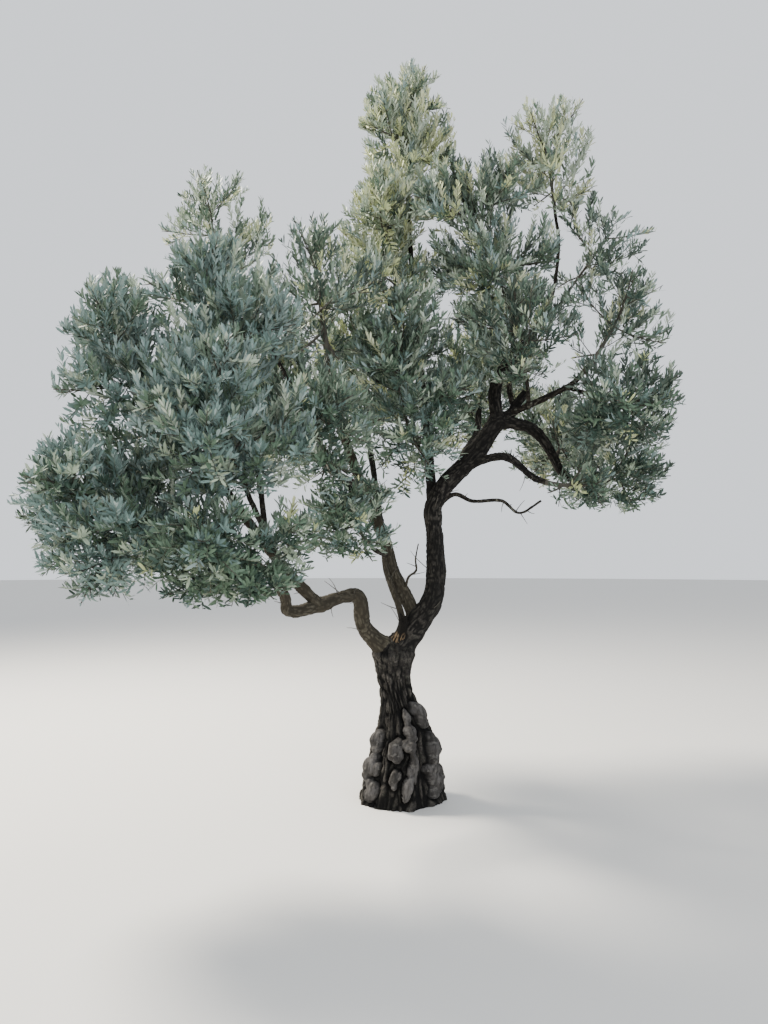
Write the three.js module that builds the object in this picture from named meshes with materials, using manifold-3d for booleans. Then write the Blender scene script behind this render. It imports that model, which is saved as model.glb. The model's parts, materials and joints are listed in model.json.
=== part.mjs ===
// An old orchard olive tree: a short trunk swollen with burrs at its foot, limbs that fork from it at hip height,
// and a crown of separate masses of foliage. Millimetres, +Z up, the origin on the ground in the middle of the
// trunk's flat cut. The tree is seen from -Y, with +X to the right.
import * as THREE from "three";
import { mergeVertices } from "three/addons/utils/BufferGeometryUtils.js";
import Module from "manifold-3d";

const wasm = await Module();
wasm.setup();

const GAP = 0.4; // what a limb leaves round the limb or trunk that it grows from
const WOOD_GAP = 3; // what a twig or leaf keeps from the trunk and limbs
const SPACE_GAP = 3; // what a mass keeps from the edge of its space
const STEM_GAP = 0.3; // what the stem of a mass leaves to its bough's tip

// Driving dimensions of the trunk
const TRUNK = {
  top: 975, // where the boughs have left it
  waist: 102, // its radius below the fork
  flare: 138, // what the swollen foot adds to that radius
  flareFrom: 120, // the height where the foot begins to narrow
  flareTop: 740, // the height where it has reached the waist
  toes: 20, // what the root flare adds at the ground
  toesTop: 170, // the height where the root flare has died away
  shoulder: 30, // what the fork adds below the top
  crown: 0.5, // how far the top closes between the boughs
  right: 24, // how far the foot leans over to the right
  left: 62, // how far the waist comes back from there to the left
  sides: 20,
  rings: 11,
};
const FLUTES = [
  { count: 5, depth: 0.05, rise: 1 / 260, turn: 0 },
  { count: 9, depth: 0.03, rise: 0, turn: -1 },
];
const ROOTS = { count: 4, depth: 0.07, turn: 0.6 };

// Burrs on the foot: where they sit round the trunk in degrees, their height, half width and half length
const BURRS = [
  [-32, 545, 44, 62],
  [-24, 335, 56, 74],
  [-28, 215, 50, 44],
  [-24, 130, 54, 66],
  [-78, 530, 30, 40],
  [-76, 445, 42, 48],
  [-80, 372, 46, 34],
  [-74, 250, 26, 84],
  [-82, 140, 38, 56],
  [-108, 345, 40, 56],
  [-104, 190, 30, 44],
  [-156, 380, 44, 58],
  [-152, 230, 46, 66],
  [-140, 90, 40, 60],
];
const BACK_BURRS = { count: 6, from: 20, to: 160, low: 120, high: 430, size: [36, 54], long: 1.25 };
const BURR_SUNK = 0.25; // how much of its half width a burr is sunk in the trunk

// Limbs: each leaves the middle line of its parent at a share of the parent's length, runs through its own knots, and
// tapers between two radii. One with a mass ends where it enters that mass. A rounded one ends in a knuckle, and an
// elbow goes on from such a knuckle with no collar.
const LIMBS = [
  // The right bough rises in an S from the fork to a gnarled knuckle
  { name: "bough_right", from: "trunk", at: 0.87, radii: [74, 54], rounded: true,
    knots: [[0, 0, 945], [75, 0, 1035], [205, 0, 1240], [228, 0, 1400], [208, 0, 1850]] },
  { name: "bough_right_upper", from: "bough_right", at: 0.98, radii: [54, 58], rounded: true, elbow: true,
    knots: [[285, 0, 1965], [413, 0, 2100], [523, 0, 2235], [640, 0, 2400]] },

  // The left bough leaves low, turns up and over, and drops into an elbow before its limbs rise towards the front
  { name: "bough_left", from: "trunk", at: 0.86, radii: [62, 43], rounded: true,
    knots: [[-95, -20, 930], [-225, -75, 1080], [-250, -160, 1260], [-300, -205, 1302]] },
  { name: "bough_left_drop", from: "bough_left", at: 0.95, radii: [40, 41], rounded: true, elbow: true,
    knots: [[-393, -300, 1264], [-488, -380, 1226]] },
  { name: "bough_left_low", from: "bough_left_drop", at: 0.94, radii: [36, 34], rounded: true, elbow: true,
    knots: [[-570, -450, 1205], [-672, -545, 1204]] },
  { name: "bough_left_high", from: "bough_left_drop", at: 0.93, radii: [36, 20], elbow: true,
    mass: "foliage_left_mid",
    knots: [[-584, -480, 1347], [-760, -690, 1590], [-1000, -830, 1940]] },
  { name: "limb_left_low", from: "bough_left_low", at: 0.94, radii: [31, 18], elbow: true, mass: "foliage_left_low",
    knots: [[-655, -590, 1290], [-790, -780, 1472], [-1010, -920, 1560]] },
  { name: "limb_left_skirt", from: "limb_left_low", at: 0.25, radii: [18, 13], mass: "foliage_left_skirt",
    knots: [[-740, -860, 1440]] },
  { name: "limb_left_front", from: "bough_left_high", at: 0.35, radii: [18, 13], mass: "foliage_left_front",
    knots: [[-770, -830, 1720]] },
  { name: "limb_left_crest", from: "bough_left_high", at: 0.46, radii: [19, 13], mass: "foliage_left_crest",
    knots: [[-790, -720, 1950], [-850, -790, 2230]] },

  // The middle bough leans back over to the left from the foot of the right one
  { name: "bough_middle", from: "bough_right", at: 0.22, radii: [46, 24], mass: "foliage_centre_high",
    knots: [[85, 30, 1150], [-42, 100, 1438], [-93, 120, 1620], [-225, 90, 1930], [-420, -130, 2520]] },
  { name: "limb_centre_low", from: "bough_middle", at: 0.28, radii: [18, 12], mass: "foliage_centre_low",
    knots: [[-160, -10, 1560]] },
  { name: "limb_centre_front", from: "bough_middle", at: 0.46, radii: [24, 14], mass: "foliage_centre_front",
    knots: [[-260, -70, 1880], [-350, -270, 1980]] },
  { name: "limb_back_left", from: "bough_middle", at: 0.54, radii: [27, 18], mass: "foliage_back_left",
    knots: [[-420, 330, 2080], [-640, 560, 2260]] },
  { name: "limb_back_left_top", from: "limb_back_left", at: 0.45, radii: [18, 13], mass: "foliage_back_left_top",
    knots: [[-640, 400, 2500], [-850, 400, 2900], [-1120, 480, 3380]] },
  { name: "limb_back_centre", from: "bough_middle", at: 0.38, radii: [26, 16], mass: "foliage_back_centre",
    knots: [[-160, 380, 2020], [-220, 700, 2450]] },

  // The upright limb goes on from the bend of the right bough to the top of the crown
  { name: "bough_upright", from: "bough_right", at: 0.94, radii: [34, 16], mass: "foliage_tall_top",
    knots: [[205, 60, 1960], [192, 110, 2200], [160, 250, 2600], [130, 330, 3050], [70, 290, 3850]] },
  { name: "limb_heart", from: "bough_upright", at: 0.16, radii: [18, 13], mass: "foliage_heart",
    knots: [[110, 20, 2240]] },
  { name: "limb_tall_left", from: "bough_upright", at: 0.48, radii: [17, 13], mass: "foliage_tall_left",
    knots: [[0, 330, 3080], [-90, 320, 3350]] },

  // Two sawn stubs stand on the knuckle, and thin risers carry the right of the crown past them
  { name: "stub_upper", from: "bough_right_upper", at: 0.98, radii: [42, 34],
    knots: [[618, 0, 2500], [618, 0, 2600], [698, 0, 2785]] },
  { name: "stub_side", from: "bough_right_upper", at: 0.98, radii: [34, 26], elbow: true,
    knots: [[725, 0, 2445], [765, 0, 2510], [818, 0, 2575]] },
  { name: "limb_rise", from: "stub_side", at: 0.5, radii: [18, 13], mass: "foliage_right_mid",
    knots: [[716, 40, 2600], [742, 50, 2930], [736, 40, 3100]] },
  { name: "limb_right_top", from: "limb_rise", at: 0.38, radii: [14, 11], elbow: true, mass: "foliage_right_top",
    knots: [[850, 150, 2960], [1010, 180, 3200], [1060, 90, 3600]] },
  { name: "limb_right_upper", from: "limb_right_top", at: 0.3, radii: [10, 9], elbow: true,
    mass: "foliage_right_upper", knots: [[1040, 140, 3160]] },

  // The drooping bough and the arm above it spread to the right
  { name: "bough_droop", from: "bough_right_upper", at: 0.97, radii: [40, 31], rounded: true, elbow: true,
    knots: [[720, 0, 2375], [850, 20, 2348], [943, 40, 2262], [1017, 60, 2132]] },
  { name: "bough_droop_end", from: "bough_droop", at: 0.97, radii: [29, 18], elbow: true,
    mass: "foliage_right_droop", knots: [[1040, 66, 2085], [1098, 80, 2030], [1204, 90, 1990]] },
  { name: "limb_right_back", from: "bough_droop", at: 0.93, radii: [18, 13], mass: "foliage_right_back",
    knots: [[1050, 220, 2180], [1090, 330, 2230]] },
  { name: "arm_right", from: "stub_side", at: 0.38, radii: [22, 15], elbow: true, mass: "foliage_right_side",
    knots: [[780, -50, 2462], [914, -120, 2515], [1080, -190, 2600], [1170, -200, 2700]] },
  { name: "limb_right_centre", from: "arm_right", at: 0.22, radii: [15, 11], mass: "foliage_right_centre",
    knots: [[800, -160, 2560]] },
  { name: "limb_right_low", from: "arm_right", at: 0.66, radii: [12, 10], mass: "foliage_right_low",
    knots: [[1110, -290, 2520]] },

  // Lower limbs leave the right bough below the knuckle
  { name: "bough_low_right", from: "bough_right_upper", at: 0.4, radii: [32, 17], mass: "foliage_right_skirt",
    knots: [[519, -80, 2127], [659, -160, 2136], [816, -240, 2000], [880, -290, 1965]] },
  { name: "limb_low_thin", from: "bough_right", at: 0.96, radii: [16, 7],
    knots: [[348, -10, 1915], [457, -60, 1869], [631, -160, 1862], [726, -220, 1784], [846, -300, 1852]] },
  { name: "limb_back_right", from: "bough_right_upper", at: 0.44, radii: [34, 20], mass: "foliage_back_right",
    knots: [[450, 280, 2220], [560, 560, 2400]] },

  // A rotten stump is left in the fork
  { name: "stub_crotch", from: "trunk", at: 0.9, radii: [42, 34],
    knots: [[0, -40, 1010], [22, -55, 1090], [24, -60, 1150]] },
];
const LIMB = {
  sides: 7,
  thinSides: 5,
  thinUnder: 30, // the foot radius under which a limb has fewer sides and younger bark
  ringEvery: 140,
  collar: 0.22, // what the collar adds to the radius at the foot
  collarLength: 1.4, // how fast the collar dies away, in foot radii
  knuckles: 0.05,
  knuckleEvery: 300,
  entry: 0.86, // how far out from the middle of its space a limb enters a mass
  dome: 0.8,
};

// Masses of foliage: the middle and the half sizes of the space that each one keeps to
const MASSES = [
  { name: "foliage_left_low", middle: [-1440, -1130, 1750], half: [470, 540, 500] },
  { name: "foliage_left_mid", middle: [-1360, -960, 2450], half: [440, 520, 650] },
  { name: "foliage_left_front", middle: [-900, -1290, 2140], half: [470, 480, 500] },
  { name: "foliage_left_skirt", middle: [-900, -1220, 1580], half: [500, 460, 330] },
  { name: "foliage_left_crest", middle: [-960, -980, 2760], half: [440, 480, 430] },
  { name: "foliage_centre_low", middle: [-310, -250, 1740], half: [360, 370, 280] },
  { name: "foliage_centre_front", middle: [-500, -660, 2230], half: [400, 430, 440] },
  { name: "foliage_centre_high", middle: [-500, -300, 3140], half: [430, 470, 470] },
  { name: "foliage_tall_top", middle: [60, 280, 4470], half: [350, 380, 500] },
  { name: "foliage_tall_left", middle: [-20, 230, 3720], half: [410, 420, 540] },
  { name: "foliage_heart", middle: [70, -210, 2600], half: [440, 420, 790] },
  { name: "foliage_right_top", middle: [980, 0, 4130], half: [370, 400, 430] },
  { name: "foliage_right_mid", middle: [540, -20, 3640], half: [560, 460, 570] },
  { name: "foliage_right_upper", middle: [1330, 80, 3560], half: [380, 400, 360] },
  { name: "foliage_right_side", middle: [1330, -180, 3000], half: [380, 430, 350] },
  { name: "foliage_right_low", middle: [1250, -560, 2390], half: [380, 420, 350] },
  { name: "foliage_right_centre", middle: [720, -330, 2890], half: [440, 400, 340] },
  { name: "foliage_right_droop", middle: [1410, 60, 2100], half: [360, 390, 330] },
  { name: "foliage_right_skirt", middle: [1060, -400, 1960], half: [210, 240, 190] },
  { name: "foliage_right_back", middle: [1200, 720, 2420], half: [470, 460, 420] },
  { name: "foliage_back_left_top", middle: [-1300, 560, 3800], half: [430, 450, 580] },
  { name: "foliage_back_left", middle: [-1060, 860, 2690], half: [560, 560, 690] },
  { name: "foliage_back_centre", middle: [-260, 1120, 3080], half: [520, 520, 560] },
  { name: "foliage_back_right", middle: [680, 1080, 2980], half: [520, 520, 620] },
];

// Growing rule: stem, twigs and sprays. A leaf of the solids is larger than life and stands for a spray.
const STEM = { sides: 4, rings: 3, bend: 0.3, past: 0.3, foot: 0.92, tip: 8 };
const TWIG = {
  perSquareMetre: 40, // twigs for each square metre of the space's mean section
  fewest: 6,
  most: 10,
  foot: 0.6, // its radius at the foot as a share of the stem's
  tip: 4,
  jitter: 0.28,
  middle: 0.55, // where on the stem a level twig leaves it
  swing: 0.5, // how much further on a twig leaves that goes the stem's way
  first: 0.22,
  last: 0.97,
  mostAdded: 16, // faces that a twig may add to those of its leaf
};
const SPRAY = {
  length: 350,
  shortest: 0.45,
  shareOfRoom: 0.8,
  width: 0.38,
  widest: 0.42,
  thick: 0.034,
  perTwig: 2,
  firstOnTwig: 0.45,
  nextOnTwig: 0.25,
  spread: 0.8,
  rolls: 4,
  mostAdded: 22, // faces that a leaf may add before it counts as running into others
};
const TO_EDGE = 0.985; // how much of the way to the edge of its space a spray may reach

const bark = new THREE.MeshStandardMaterial({ color: 0x4a4138, roughness: 0.95, metalness: 0 });
const barkYoung = new THREE.MeshStandardMaterial({ color: 0x6b6152, roughness: 0.9, metalness: 0 });
const leafGreen = new THREE.MeshStandardMaterial({ color: 0x66774f, roughness: 0.6, metalness: 0 });

const vector = (p) => new THREE.Vector3(...p);
const { smoothstep, lerp, clamp, degToRad } = THREE.MathUtils;
const GOLDEN_ANGLE = Math.PI * (3 - Math.sqrt(5));

// A stream of numbers from 0 to 1 that depends only on its seed
function seeded(seed) {
  const modulus = 4294967296;
  let state = (seed * 7919 + 12345) % modulus;
  return () => {
    state = (state * 1664525 + 1013904223) % modulus;
    return state / modulus;
  };
}

// A closed geometry as a solid that can be joined and cut
function solidOf(geometry) {
  const bare = geometry.index ? geometry.toNonIndexed() : geometry.clone();
  bare.deleteAttribute("normal");
  bare.deleteAttribute("uv");
  const merged = mergeVertices(bare, 1e-3);
  return new wasm.Manifold(
    new wasm.Mesh({
      numProp: 3,
      vertProperties: merged.attributes.position.array,
      triVerts: new Uint32Array(merged.index.array),
    }),
  );
}

// The largest body of a solid, without loose scraps
function largest(solid) {
  return solid.decompose().reduce((a, b) => (b.volume() > a.volume() ? b : a));
}

// A named mesh of a solid
function meshOf(name, solid, material) {
  const made = solid.getMesh();
  const geometry = new THREE.BufferGeometry();
  geometry.setAttribute("position", new THREE.BufferAttribute(made.vertProperties, 3));
  geometry.setIndex(new THREE.BufferAttribute(made.triVerts, 1));
  geometry.computeVertexNormals();
  const mesh = new THREE.Mesh(geometry, material);
  mesh.name = name;
  return mesh;
}

// A capped cylinder bent along a curve. radiusAt gives its radius from 0 at the foot to 1 at the tip, grow widens
// and lengthens it all round, and a rounded one has one ring more that closes it to a low dome.
function bentRod(curve, radiusAt, sides, rings, grow = 0, rounded = false) {
  const domeRings = rounded ? 1 : 0;
  const rod = new THREE.CylinderGeometry(1, 1, 1, sides, rings + domeRings);
  const frames = curve.computeFrenetFrames(rings);
  const position = rod.attributes.position;
  const tipRadius = radiusAt(1) + grow;
  for (let i = 0; i < position.count; i++) {
    const ring = Math.round((position.getY(i) + 0.5) * (rings + domeRings));
    const along = Math.min(ring, rings);
    const dome = (ring - along) * LIMB.dome;
    const radius = (radiusAt(along / rings) + grow) * Math.sqrt(1 - dome * dome);
    const past = ring === 0 ? -grow : along === rings ? grow + dome * tipRadius * LIMB.dome : 0;
    const point = curve.getPointAt(along / rings);
    point.addScaledVector(frames.tangents[along], past);
    point.addScaledVector(frames.binormals[along], position.getX(i) * radius);
    point.addScaledVector(frames.normals[along], position.getZ(i) * radius);
    position.setXYZ(i, point.x, point.y, point.z);
  }
  return rod;
}

// Trunk: a fluted cylinder that leans a little, narrow at the waist, swollen at the foot and wider at the fork
function trunkRadius(height, turn) {
  const foot = 1 - smoothstep(height, TRUNK.flareFrom, TRUNK.flareTop);
  const toes = Math.max(0, 1 - height / TRUNK.toesTop) ** 2;
  const fork = smoothstep(height, TRUNK.top * 0.82, TRUNK.top * 0.96);
  let shape = 1 + ROOTS.depth * foot * Math.cos(ROOTS.count * turn + ROOTS.turn);
  for (const flute of FLUTES) {
    shape += flute.depth * Math.cos(flute.count * turn + height * flute.rise + flute.turn);
  }
  return (TRUNK.waist + TRUNK.flare * foot + TRUNK.toes * toes + TRUNK.shoulder * fork) * shape;
}

function trunkMiddle(height) {
  const x = TRUNK.right * smoothstep(height, 0, 400) - TRUNK.left * smoothstep(height, 430, 800);
  return new THREE.Vector3(x, 0, height);
}

function trunkGeometry(grow = 0) {
  const trunk = new THREE.CylinderGeometry(1, 1, 1, TRUNK.sides, TRUNK.rings);
  trunk.rotateX(Math.PI / 2);
  const position = trunk.attributes.position;
  for (let i = 0; i < position.count; i++) {
    const turn = Math.atan2(position.getY(i), position.getX(i));
    const fromMiddle = Math.hypot(position.getX(i), position.getY(i));
    const height = TRUNK.top * (position.getZ(i) + 0.5);
    const atTop = height > TRUNK.top * 0.99;
    const radius = fromMiddle * (trunkRadius(height, turn) * (atTop ? TRUNK.crown : 1) + grow);
    const point = trunkMiddle(height);
    const lift = atTop ? grow : 0;
    position.setXYZ(i, point.x + radius * Math.cos(turn), radius * Math.sin(turn), height + lift);
  }
  return trunk;
}

function burrSolid(degrees, height, halfWidth, halfLength) {
  const turn = degToRad(degrees);
  const burr = new THREE.DodecahedronGeometry(1, 0);
  burr.rotateZ(degrees).rotateX(height);
  burr.scale(halfWidth, halfWidth, halfLength);
  const out = trunkRadius(height, turn) - halfWidth * BURR_SUNK;
  burr.translate(trunkMiddle(height).x + out * Math.cos(turn), out * Math.sin(turn), height);
  return solidOf(burr);
}

function trunkSolid() {
  const random = seeded(3);
  const burrs = [...BURRS];
  for (let i = 0; i < BACK_BURRS.count; i++) {
    const turn = lerp(BACK_BURRS.from, BACK_BURRS.to, (i + 0.5) / BACK_BURRS.count);
    const height = lerp(BACK_BURRS.low, BACK_BURRS.high, random());
    const size = lerp(...BACK_BURRS.size, random());
    burrs.push([turn, height, size, size * BACK_BURRS.long]);
  }
  const trunk = burrs.reduce((all, burr) => all.add(burrSolid(...burr)), solidOf(trunkGeometry()));
  const ground = new THREE.BoxGeometry(2000, 2000, 400).translate(0, 0, -200);
  return largest(trunk.subtract(solidOf(ground)));
}

// Limbs: a limb's middle line starts on its parent's, and one with a mass runs on to the edge of that mass
function limbCurve(limb, curves) {
  const parent = curves.get(limb.from);
  const start = parent ? parent.getPointAt(limb.at) : trunkMiddle(limb.at * TRUNK.top);
  const knots = [start, ...limb.knots.map(vector)];
  const mass = MASSES.find((m) => m.name === limb.mass);
  if (mass) {
    const middle = vector(mass.middle);
    const back = knots.at(-1).clone().sub(middle).normalize();
    const edge = radiusTowards(mass, back);
    if (knots.at(-1).distanceTo(middle) > edge) knots.push(middle.addScaledVector(back, edge * LIMB.entry));
  }
  return new THREE.CatmullRomCurve3(knots, false, "centripetal");
}

function limbRadius(limb, length) {
  const [foot, tip] = limb.radii;
  return (share) => {
    const fading = Math.exp((-share * length) / (LIMB.collarLength * foot));
    const collar = limb.elbow ? 0 : foot * LIMB.collar * fading;
    const knuckles = LIMB.knuckles * Math.sin((2 * Math.PI * share * length) / LIMB.knuckleEvery + foot);
    return lerp(foot, tip, share) * (1 + knuckles) + collar;
  };
}

const isThin = (limb) => limb.radii[0] < LIMB.thinUnder;

function limbSolid(limb, curve, grow = 0) {
  const length = curve.getLength();
  const sides = isThin(limb) ? LIMB.thinSides : LIMB.sides;
  const rings = Math.max(3, Math.round(length / LIMB.ringEvery));
  return solidOf(bentRod(curve, limbRadius(limb, length), sides, rings, grow, limb.rounded));
}

// Spaces of the masses: an ellipsoid, cut by a plane towards each neighbour that it would run into
function radiusTowards(mass, direction) {
  const [a, b, c] = mass.half;
  return 1 / Math.hypot(direction.x / a, direction.y / b, direction.z / c);
}

function spaceOf(mass) {
  const middle = vector(mass.middle);
  const others = MASSES.filter((other) => other !== mass);
  const planes = others.map((other) => {
    const towards = vector(other.middle).sub(middle);
    const apart = towards.length();
    towards.normalize();
    const mine = radiusTowards(mass, towards);
    const edge = (apart * mine) / (mine + radiusTowards(other, towards)) - SPACE_GAP;
    return new THREE.Plane(towards, -towards.dot(middle) - edge);
  });
  return { middle, half: mass.half, planes };
}

// How far a ray from a point inside a space can go before it leaves it
function reach(space, from, direction) {
  const scale = new THREE.Vector3(...space.half.map((h) => 1 / h));
  const p = from.clone().sub(space.middle).multiply(scale);
  const d = direction.clone().multiply(scale);
  const [a, b, c] = [d.dot(d), p.dot(d), p.dot(p) - 1];
  let far = (-b + Math.sqrt(Math.max(0, b * b - a * c))) / a;
  for (const plane of space.planes) {
    const closing = plane.normal.dot(direction);
    if (closing > 0) far = Math.min(far, -plane.distanceToPoint(from) / closing);
  }
  return far * TO_EDGE;
}

function isInside(space, point) {
  const p = point.clone().sub(space.middle);
  const share = Math.hypot(p.x / space.half[0], p.y / space.half[1], p.z / space.half[2]);
  return share <= 1 && space.planes.every((plane) => plane.distanceToPoint(point) < 0);
}

// A twig and the leaf at its end as one body with three sides: round along the twig, flat and keeled along the leaf.
// With no twig it is a leaf alone, pointed at its root.
function sprayBody(root, direction, across, leafLength, twigLength, footRadius) {
  const half = (leafLength * SPRAY.width) / Math.sqrt(3);
  const profile = [[0, 0]];
  if (twigLength) profile.push([footRadius, 0], [TWIG.tip, twigLength]);
  profile.push([half, twigLength + leafLength * SPRAY.widest], [0, twigLength + leafLength]);
  const body = new THREE.LatheGeometry(profile.map((p) => new THREE.Vector2(...p)), 3);
  const position = body.attributes.position;
  const flat = (SPRAY.thick * leafLength) / (1.5 * half);
  for (let i = 0; i < position.count; i++) {
    if (position.getY(i) > twigLength + 1) position.setZ(i, position.getZ(i) * flat);
  }
  const up = across.clone().cross(direction).normalize();
  return body.applyMatrix4(new THREE.Matrix4().makeBasis(across, direction, up).setPosition(root));
}

function cornersOf(geometry) {
  const position = geometry.attributes.position;
  return Array.from({ length: position.count }, (_, i) => new THREE.Vector3().fromBufferAttribute(position, i));
}

// A unit vector square to a direction, turned round it by an angle
function squareTo(direction, angle) {
  const helper = Math.abs(direction.z) < 0.9 ? new THREE.Vector3(0, 0, 1) : new THREE.Vector3(1, 0, 0);
  return helper.cross(direction).normalize().applyAxisAngle(direction, angle);
}

// The direction of twig k of a number: even all round by the golden angle, and shaken a little
function twigDirection(k, count, seed, random) {
  const rise = 1 - (2 * (k + 0.5)) / count;
  const turn = k * GOLDEN_ANGLE + seed;
  const level = Math.sqrt(1 - rise * rise);
  const shake = [random(), random(), random()].map((r) => (r - 0.5) * TWIG.jitter);
  const even = new THREE.Vector3(level * Math.cos(turn), level * Math.sin(turn), rise);
  return even.add(vector(shake)).normalize();
}

function twigCount(mass) {
  const [a, b, c] = mass.half;
  const section = (a * b + b * c + a * c) / 3e6;
  return clamp(Math.round(section * TWIG.perSquareMetre), TWIG.fewest, TWIG.most);
}

// Growing a mass: its stem carries the bough on, twigs leave the stem, each as long as the space lets it be, with a
// leaf at its tip and others on its way. A twig or leaf that would touch a limb or leave the space is left out.
function growMass(mass, limb, curve, wood, seed) {
  const random = seeded(seed);
  const space = spaceOf(mass);
  const heading = curve.getTangentAt(1);
  const start = curve.getPointAt(1).addScaledVector(heading, STEM_GAP);
  const end = space.middle.clone().addScaledVector(heading, STEM.past * radiusTowards(mass, heading));
  const bend = start.clone().addScaledVector(heading, start.distanceTo(end) * STEM.bend);
  const stem = new THREE.QuadraticBezierCurve3(start, bend, end);
  const stemRadius = (share) => lerp(limb.radii[1] * STEM.foot, STEM.tip, share);
  let solid = solidOf(bentRod(stem, stemRadius, STEM.sides, STEM.rings));

  // Adds a twig with its leaf, or a leaf alone, turned about its own line until it runs into as little as can be
  const addSpray = (root, direction, firstRoll, leafLength, twigLength = 0, footRadius = 0) => {
    if (leafLength < SPRAY.length * SPRAY.shortest) return false;
    const mostAdded = SPRAY.mostAdded + (twigLength ? TWIG.mostAdded : 0);
    for (let k = 0; k < SPRAY.rolls; k++) {
      const across = squareTo(direction, firstRoll + (k * Math.PI) / SPRAY.rolls);
      const body = sprayBody(root, direction, across, leafLength, twigLength, footRadius);
      if (!cornersOf(body).every((corner) => isInside(space, corner))) continue;
      const spray = solidOf(body);
      if (!spray.intersect(wood).isEmpty()) continue;
      const joined = solid.add(spray);
      if (joined.numTri() - solid.numTri() > mostAdded) continue;
      solid = joined;
      return true;
    }
    return false;
  };

  const count = twigCount(mass);
  for (let k = 0; k < count; k++) {
    const direction = twigDirection(k, count, seed, random);
    const roll = random() * Math.PI;
    const share = clamp(TWIG.middle + TWIG.swing * direction.dot(heading), TWIG.first, TWIG.last);
    const foot = stem.getPointAt(share);
    const room = reach(space, foot, direction);
    const leafLength = Math.min(SPRAY.length, room * SPRAY.shareOfRoom);
    const twigLength = room - leafLength;
    if (!addSpray(foot, direction, roll, leafLength, twigLength, stemRadius(share) * TWIG.foot)) continue;
    for (let j = 0; j < SPRAY.perTwig; j++) {
      const onTwig = twigLength * (SPRAY.firstOnTwig + SPRAY.nextOnTwig * j);
      const from = foot.clone().addScaledVector(direction, onTwig);
      const outward = squareTo(direction, roll + j * Math.PI).multiplyScalar(SPRAY.spread);
      outward.add(direction).normalize();
      addSpray(from, outward, roll + j, Math.min(SPRAY.length, reach(space, from, outward)));
    }
  }
  return largest(solid);
}

const tree = new THREE.Group();
tree.add(meshOf("trunk", trunkSolid(), bark));

// Each limb is cut back from the trunk and from the limbs before it, so that their pieces meet without overlap
const curves = new Map();
const before = [solidOf(trunkGeometry(GAP))];
let wood = solidOf(trunkGeometry(WOOD_GAP));
for (const limb of LIMBS) {
  const curve = limbCurve(limb, curves);
  curves.set(limb.name, curve);
  const cut = before.reduce((rest, other) => rest.subtract(other), limbSolid(limb, curve));
  tree.add(meshOf(limb.name, largest(cut), isThin(limb) ? barkYoung : bark));
  before.push(limbSolid(limb, curve, GAP));
  wood = wood.add(limbSolid(limb, curve, WOOD_GAP));
}

MASSES.forEach((mass, i) => {
  const limb = LIMBS.find((l) => l.mass === mass.name);
  tree.add(meshOf(mass.name, growMass(mass, limb, curves.get(limb.name), wood, i + 1), leafGreen));
});

export default tree;
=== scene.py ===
# An old orchard olive tree over its solids: a trunk swollen with burrs, limbs in fissured bark, and a
# crown of twigs and narrow leaves. Metres, +Z up, the origin on the ground in the middle of the trunk's
# flat cut. The tree is seen from -Y, with +X to the right.
import json
import math

import bpy
import numpy as np
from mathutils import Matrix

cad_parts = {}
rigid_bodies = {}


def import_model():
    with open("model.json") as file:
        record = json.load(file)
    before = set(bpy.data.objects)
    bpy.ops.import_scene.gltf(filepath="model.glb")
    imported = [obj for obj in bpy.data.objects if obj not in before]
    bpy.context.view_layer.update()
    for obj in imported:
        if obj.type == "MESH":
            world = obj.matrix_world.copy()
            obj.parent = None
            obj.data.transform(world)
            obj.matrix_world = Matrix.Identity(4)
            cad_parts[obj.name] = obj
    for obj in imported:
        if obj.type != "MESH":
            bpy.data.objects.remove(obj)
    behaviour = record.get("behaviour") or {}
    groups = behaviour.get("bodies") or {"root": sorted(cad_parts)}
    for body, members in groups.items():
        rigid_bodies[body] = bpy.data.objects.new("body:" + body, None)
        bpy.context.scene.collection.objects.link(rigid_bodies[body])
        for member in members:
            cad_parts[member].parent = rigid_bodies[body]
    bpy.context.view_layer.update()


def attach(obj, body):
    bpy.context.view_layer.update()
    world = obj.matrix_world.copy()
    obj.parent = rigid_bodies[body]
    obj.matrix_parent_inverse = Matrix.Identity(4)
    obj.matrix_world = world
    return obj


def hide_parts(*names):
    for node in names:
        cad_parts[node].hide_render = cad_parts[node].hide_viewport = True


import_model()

# The view: a phone held at eye height about five metres from the trunk, tilted up a little, with its long
# side upright. Its lens is given by the focal length in pixels of a picture 1024 pixels tall.
LENS_PLACE = (-0.10, -5.10, 1.50)
LENS_TILT = 3.4
LONG_SIDE = 1024
FOCAL_LENGTH = 799
FILM_SIDE = 36.0
VIEW_LIMIT = 200

camera = bpy.data.objects.new("camera", bpy.data.cameras.new("camera"))
camera.data.sensor_width = FILM_SIDE
camera.data.lens = FILM_SIDE * FOCAL_LENGTH / LONG_SIDE
camera.data.clip_end = VIEW_LIMIT
camera.location = LENS_PLACE
camera.rotation_euler = (math.radians(90 + LENS_TILT), 0, 0)
bpy.context.collection.objects.link(camera)
bpy.context.scene.camera = camera

# The stage: a wide pale floor under an even pale sky. A broad soft lamp high on the left and behind the
# crown takes the sun's place, and a wide weak one fills the side towards the camera.
FULL_TURN = 2 * math.pi
FLOOR_RADIUS = 60.0
FLOOR_CORNERS = 64
FLOOR_COLOUR = (0.60, 0.59, 0.57, 1)
FLOOR_ROUGHNESS = 0.95
SKY_COLOUR = (0.87, 0.91, 0.96, 1)
SKY_STRENGTH = 1.3
LAMPS = {
    "lamp_sun": dict(
        place=(-5.5, 2.5, 8.5), aim=(0, 0, 2.6), size=2.5, power=3400, colour=(1.0, 0.93, 0.80)),
    "lamp_fill": dict(
        place=(3.5, -8.0, 4.5), aim=(0, 0, 2.0), size=6.0, power=500, colour=(0.92, 0.96, 1.0)),
}


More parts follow.
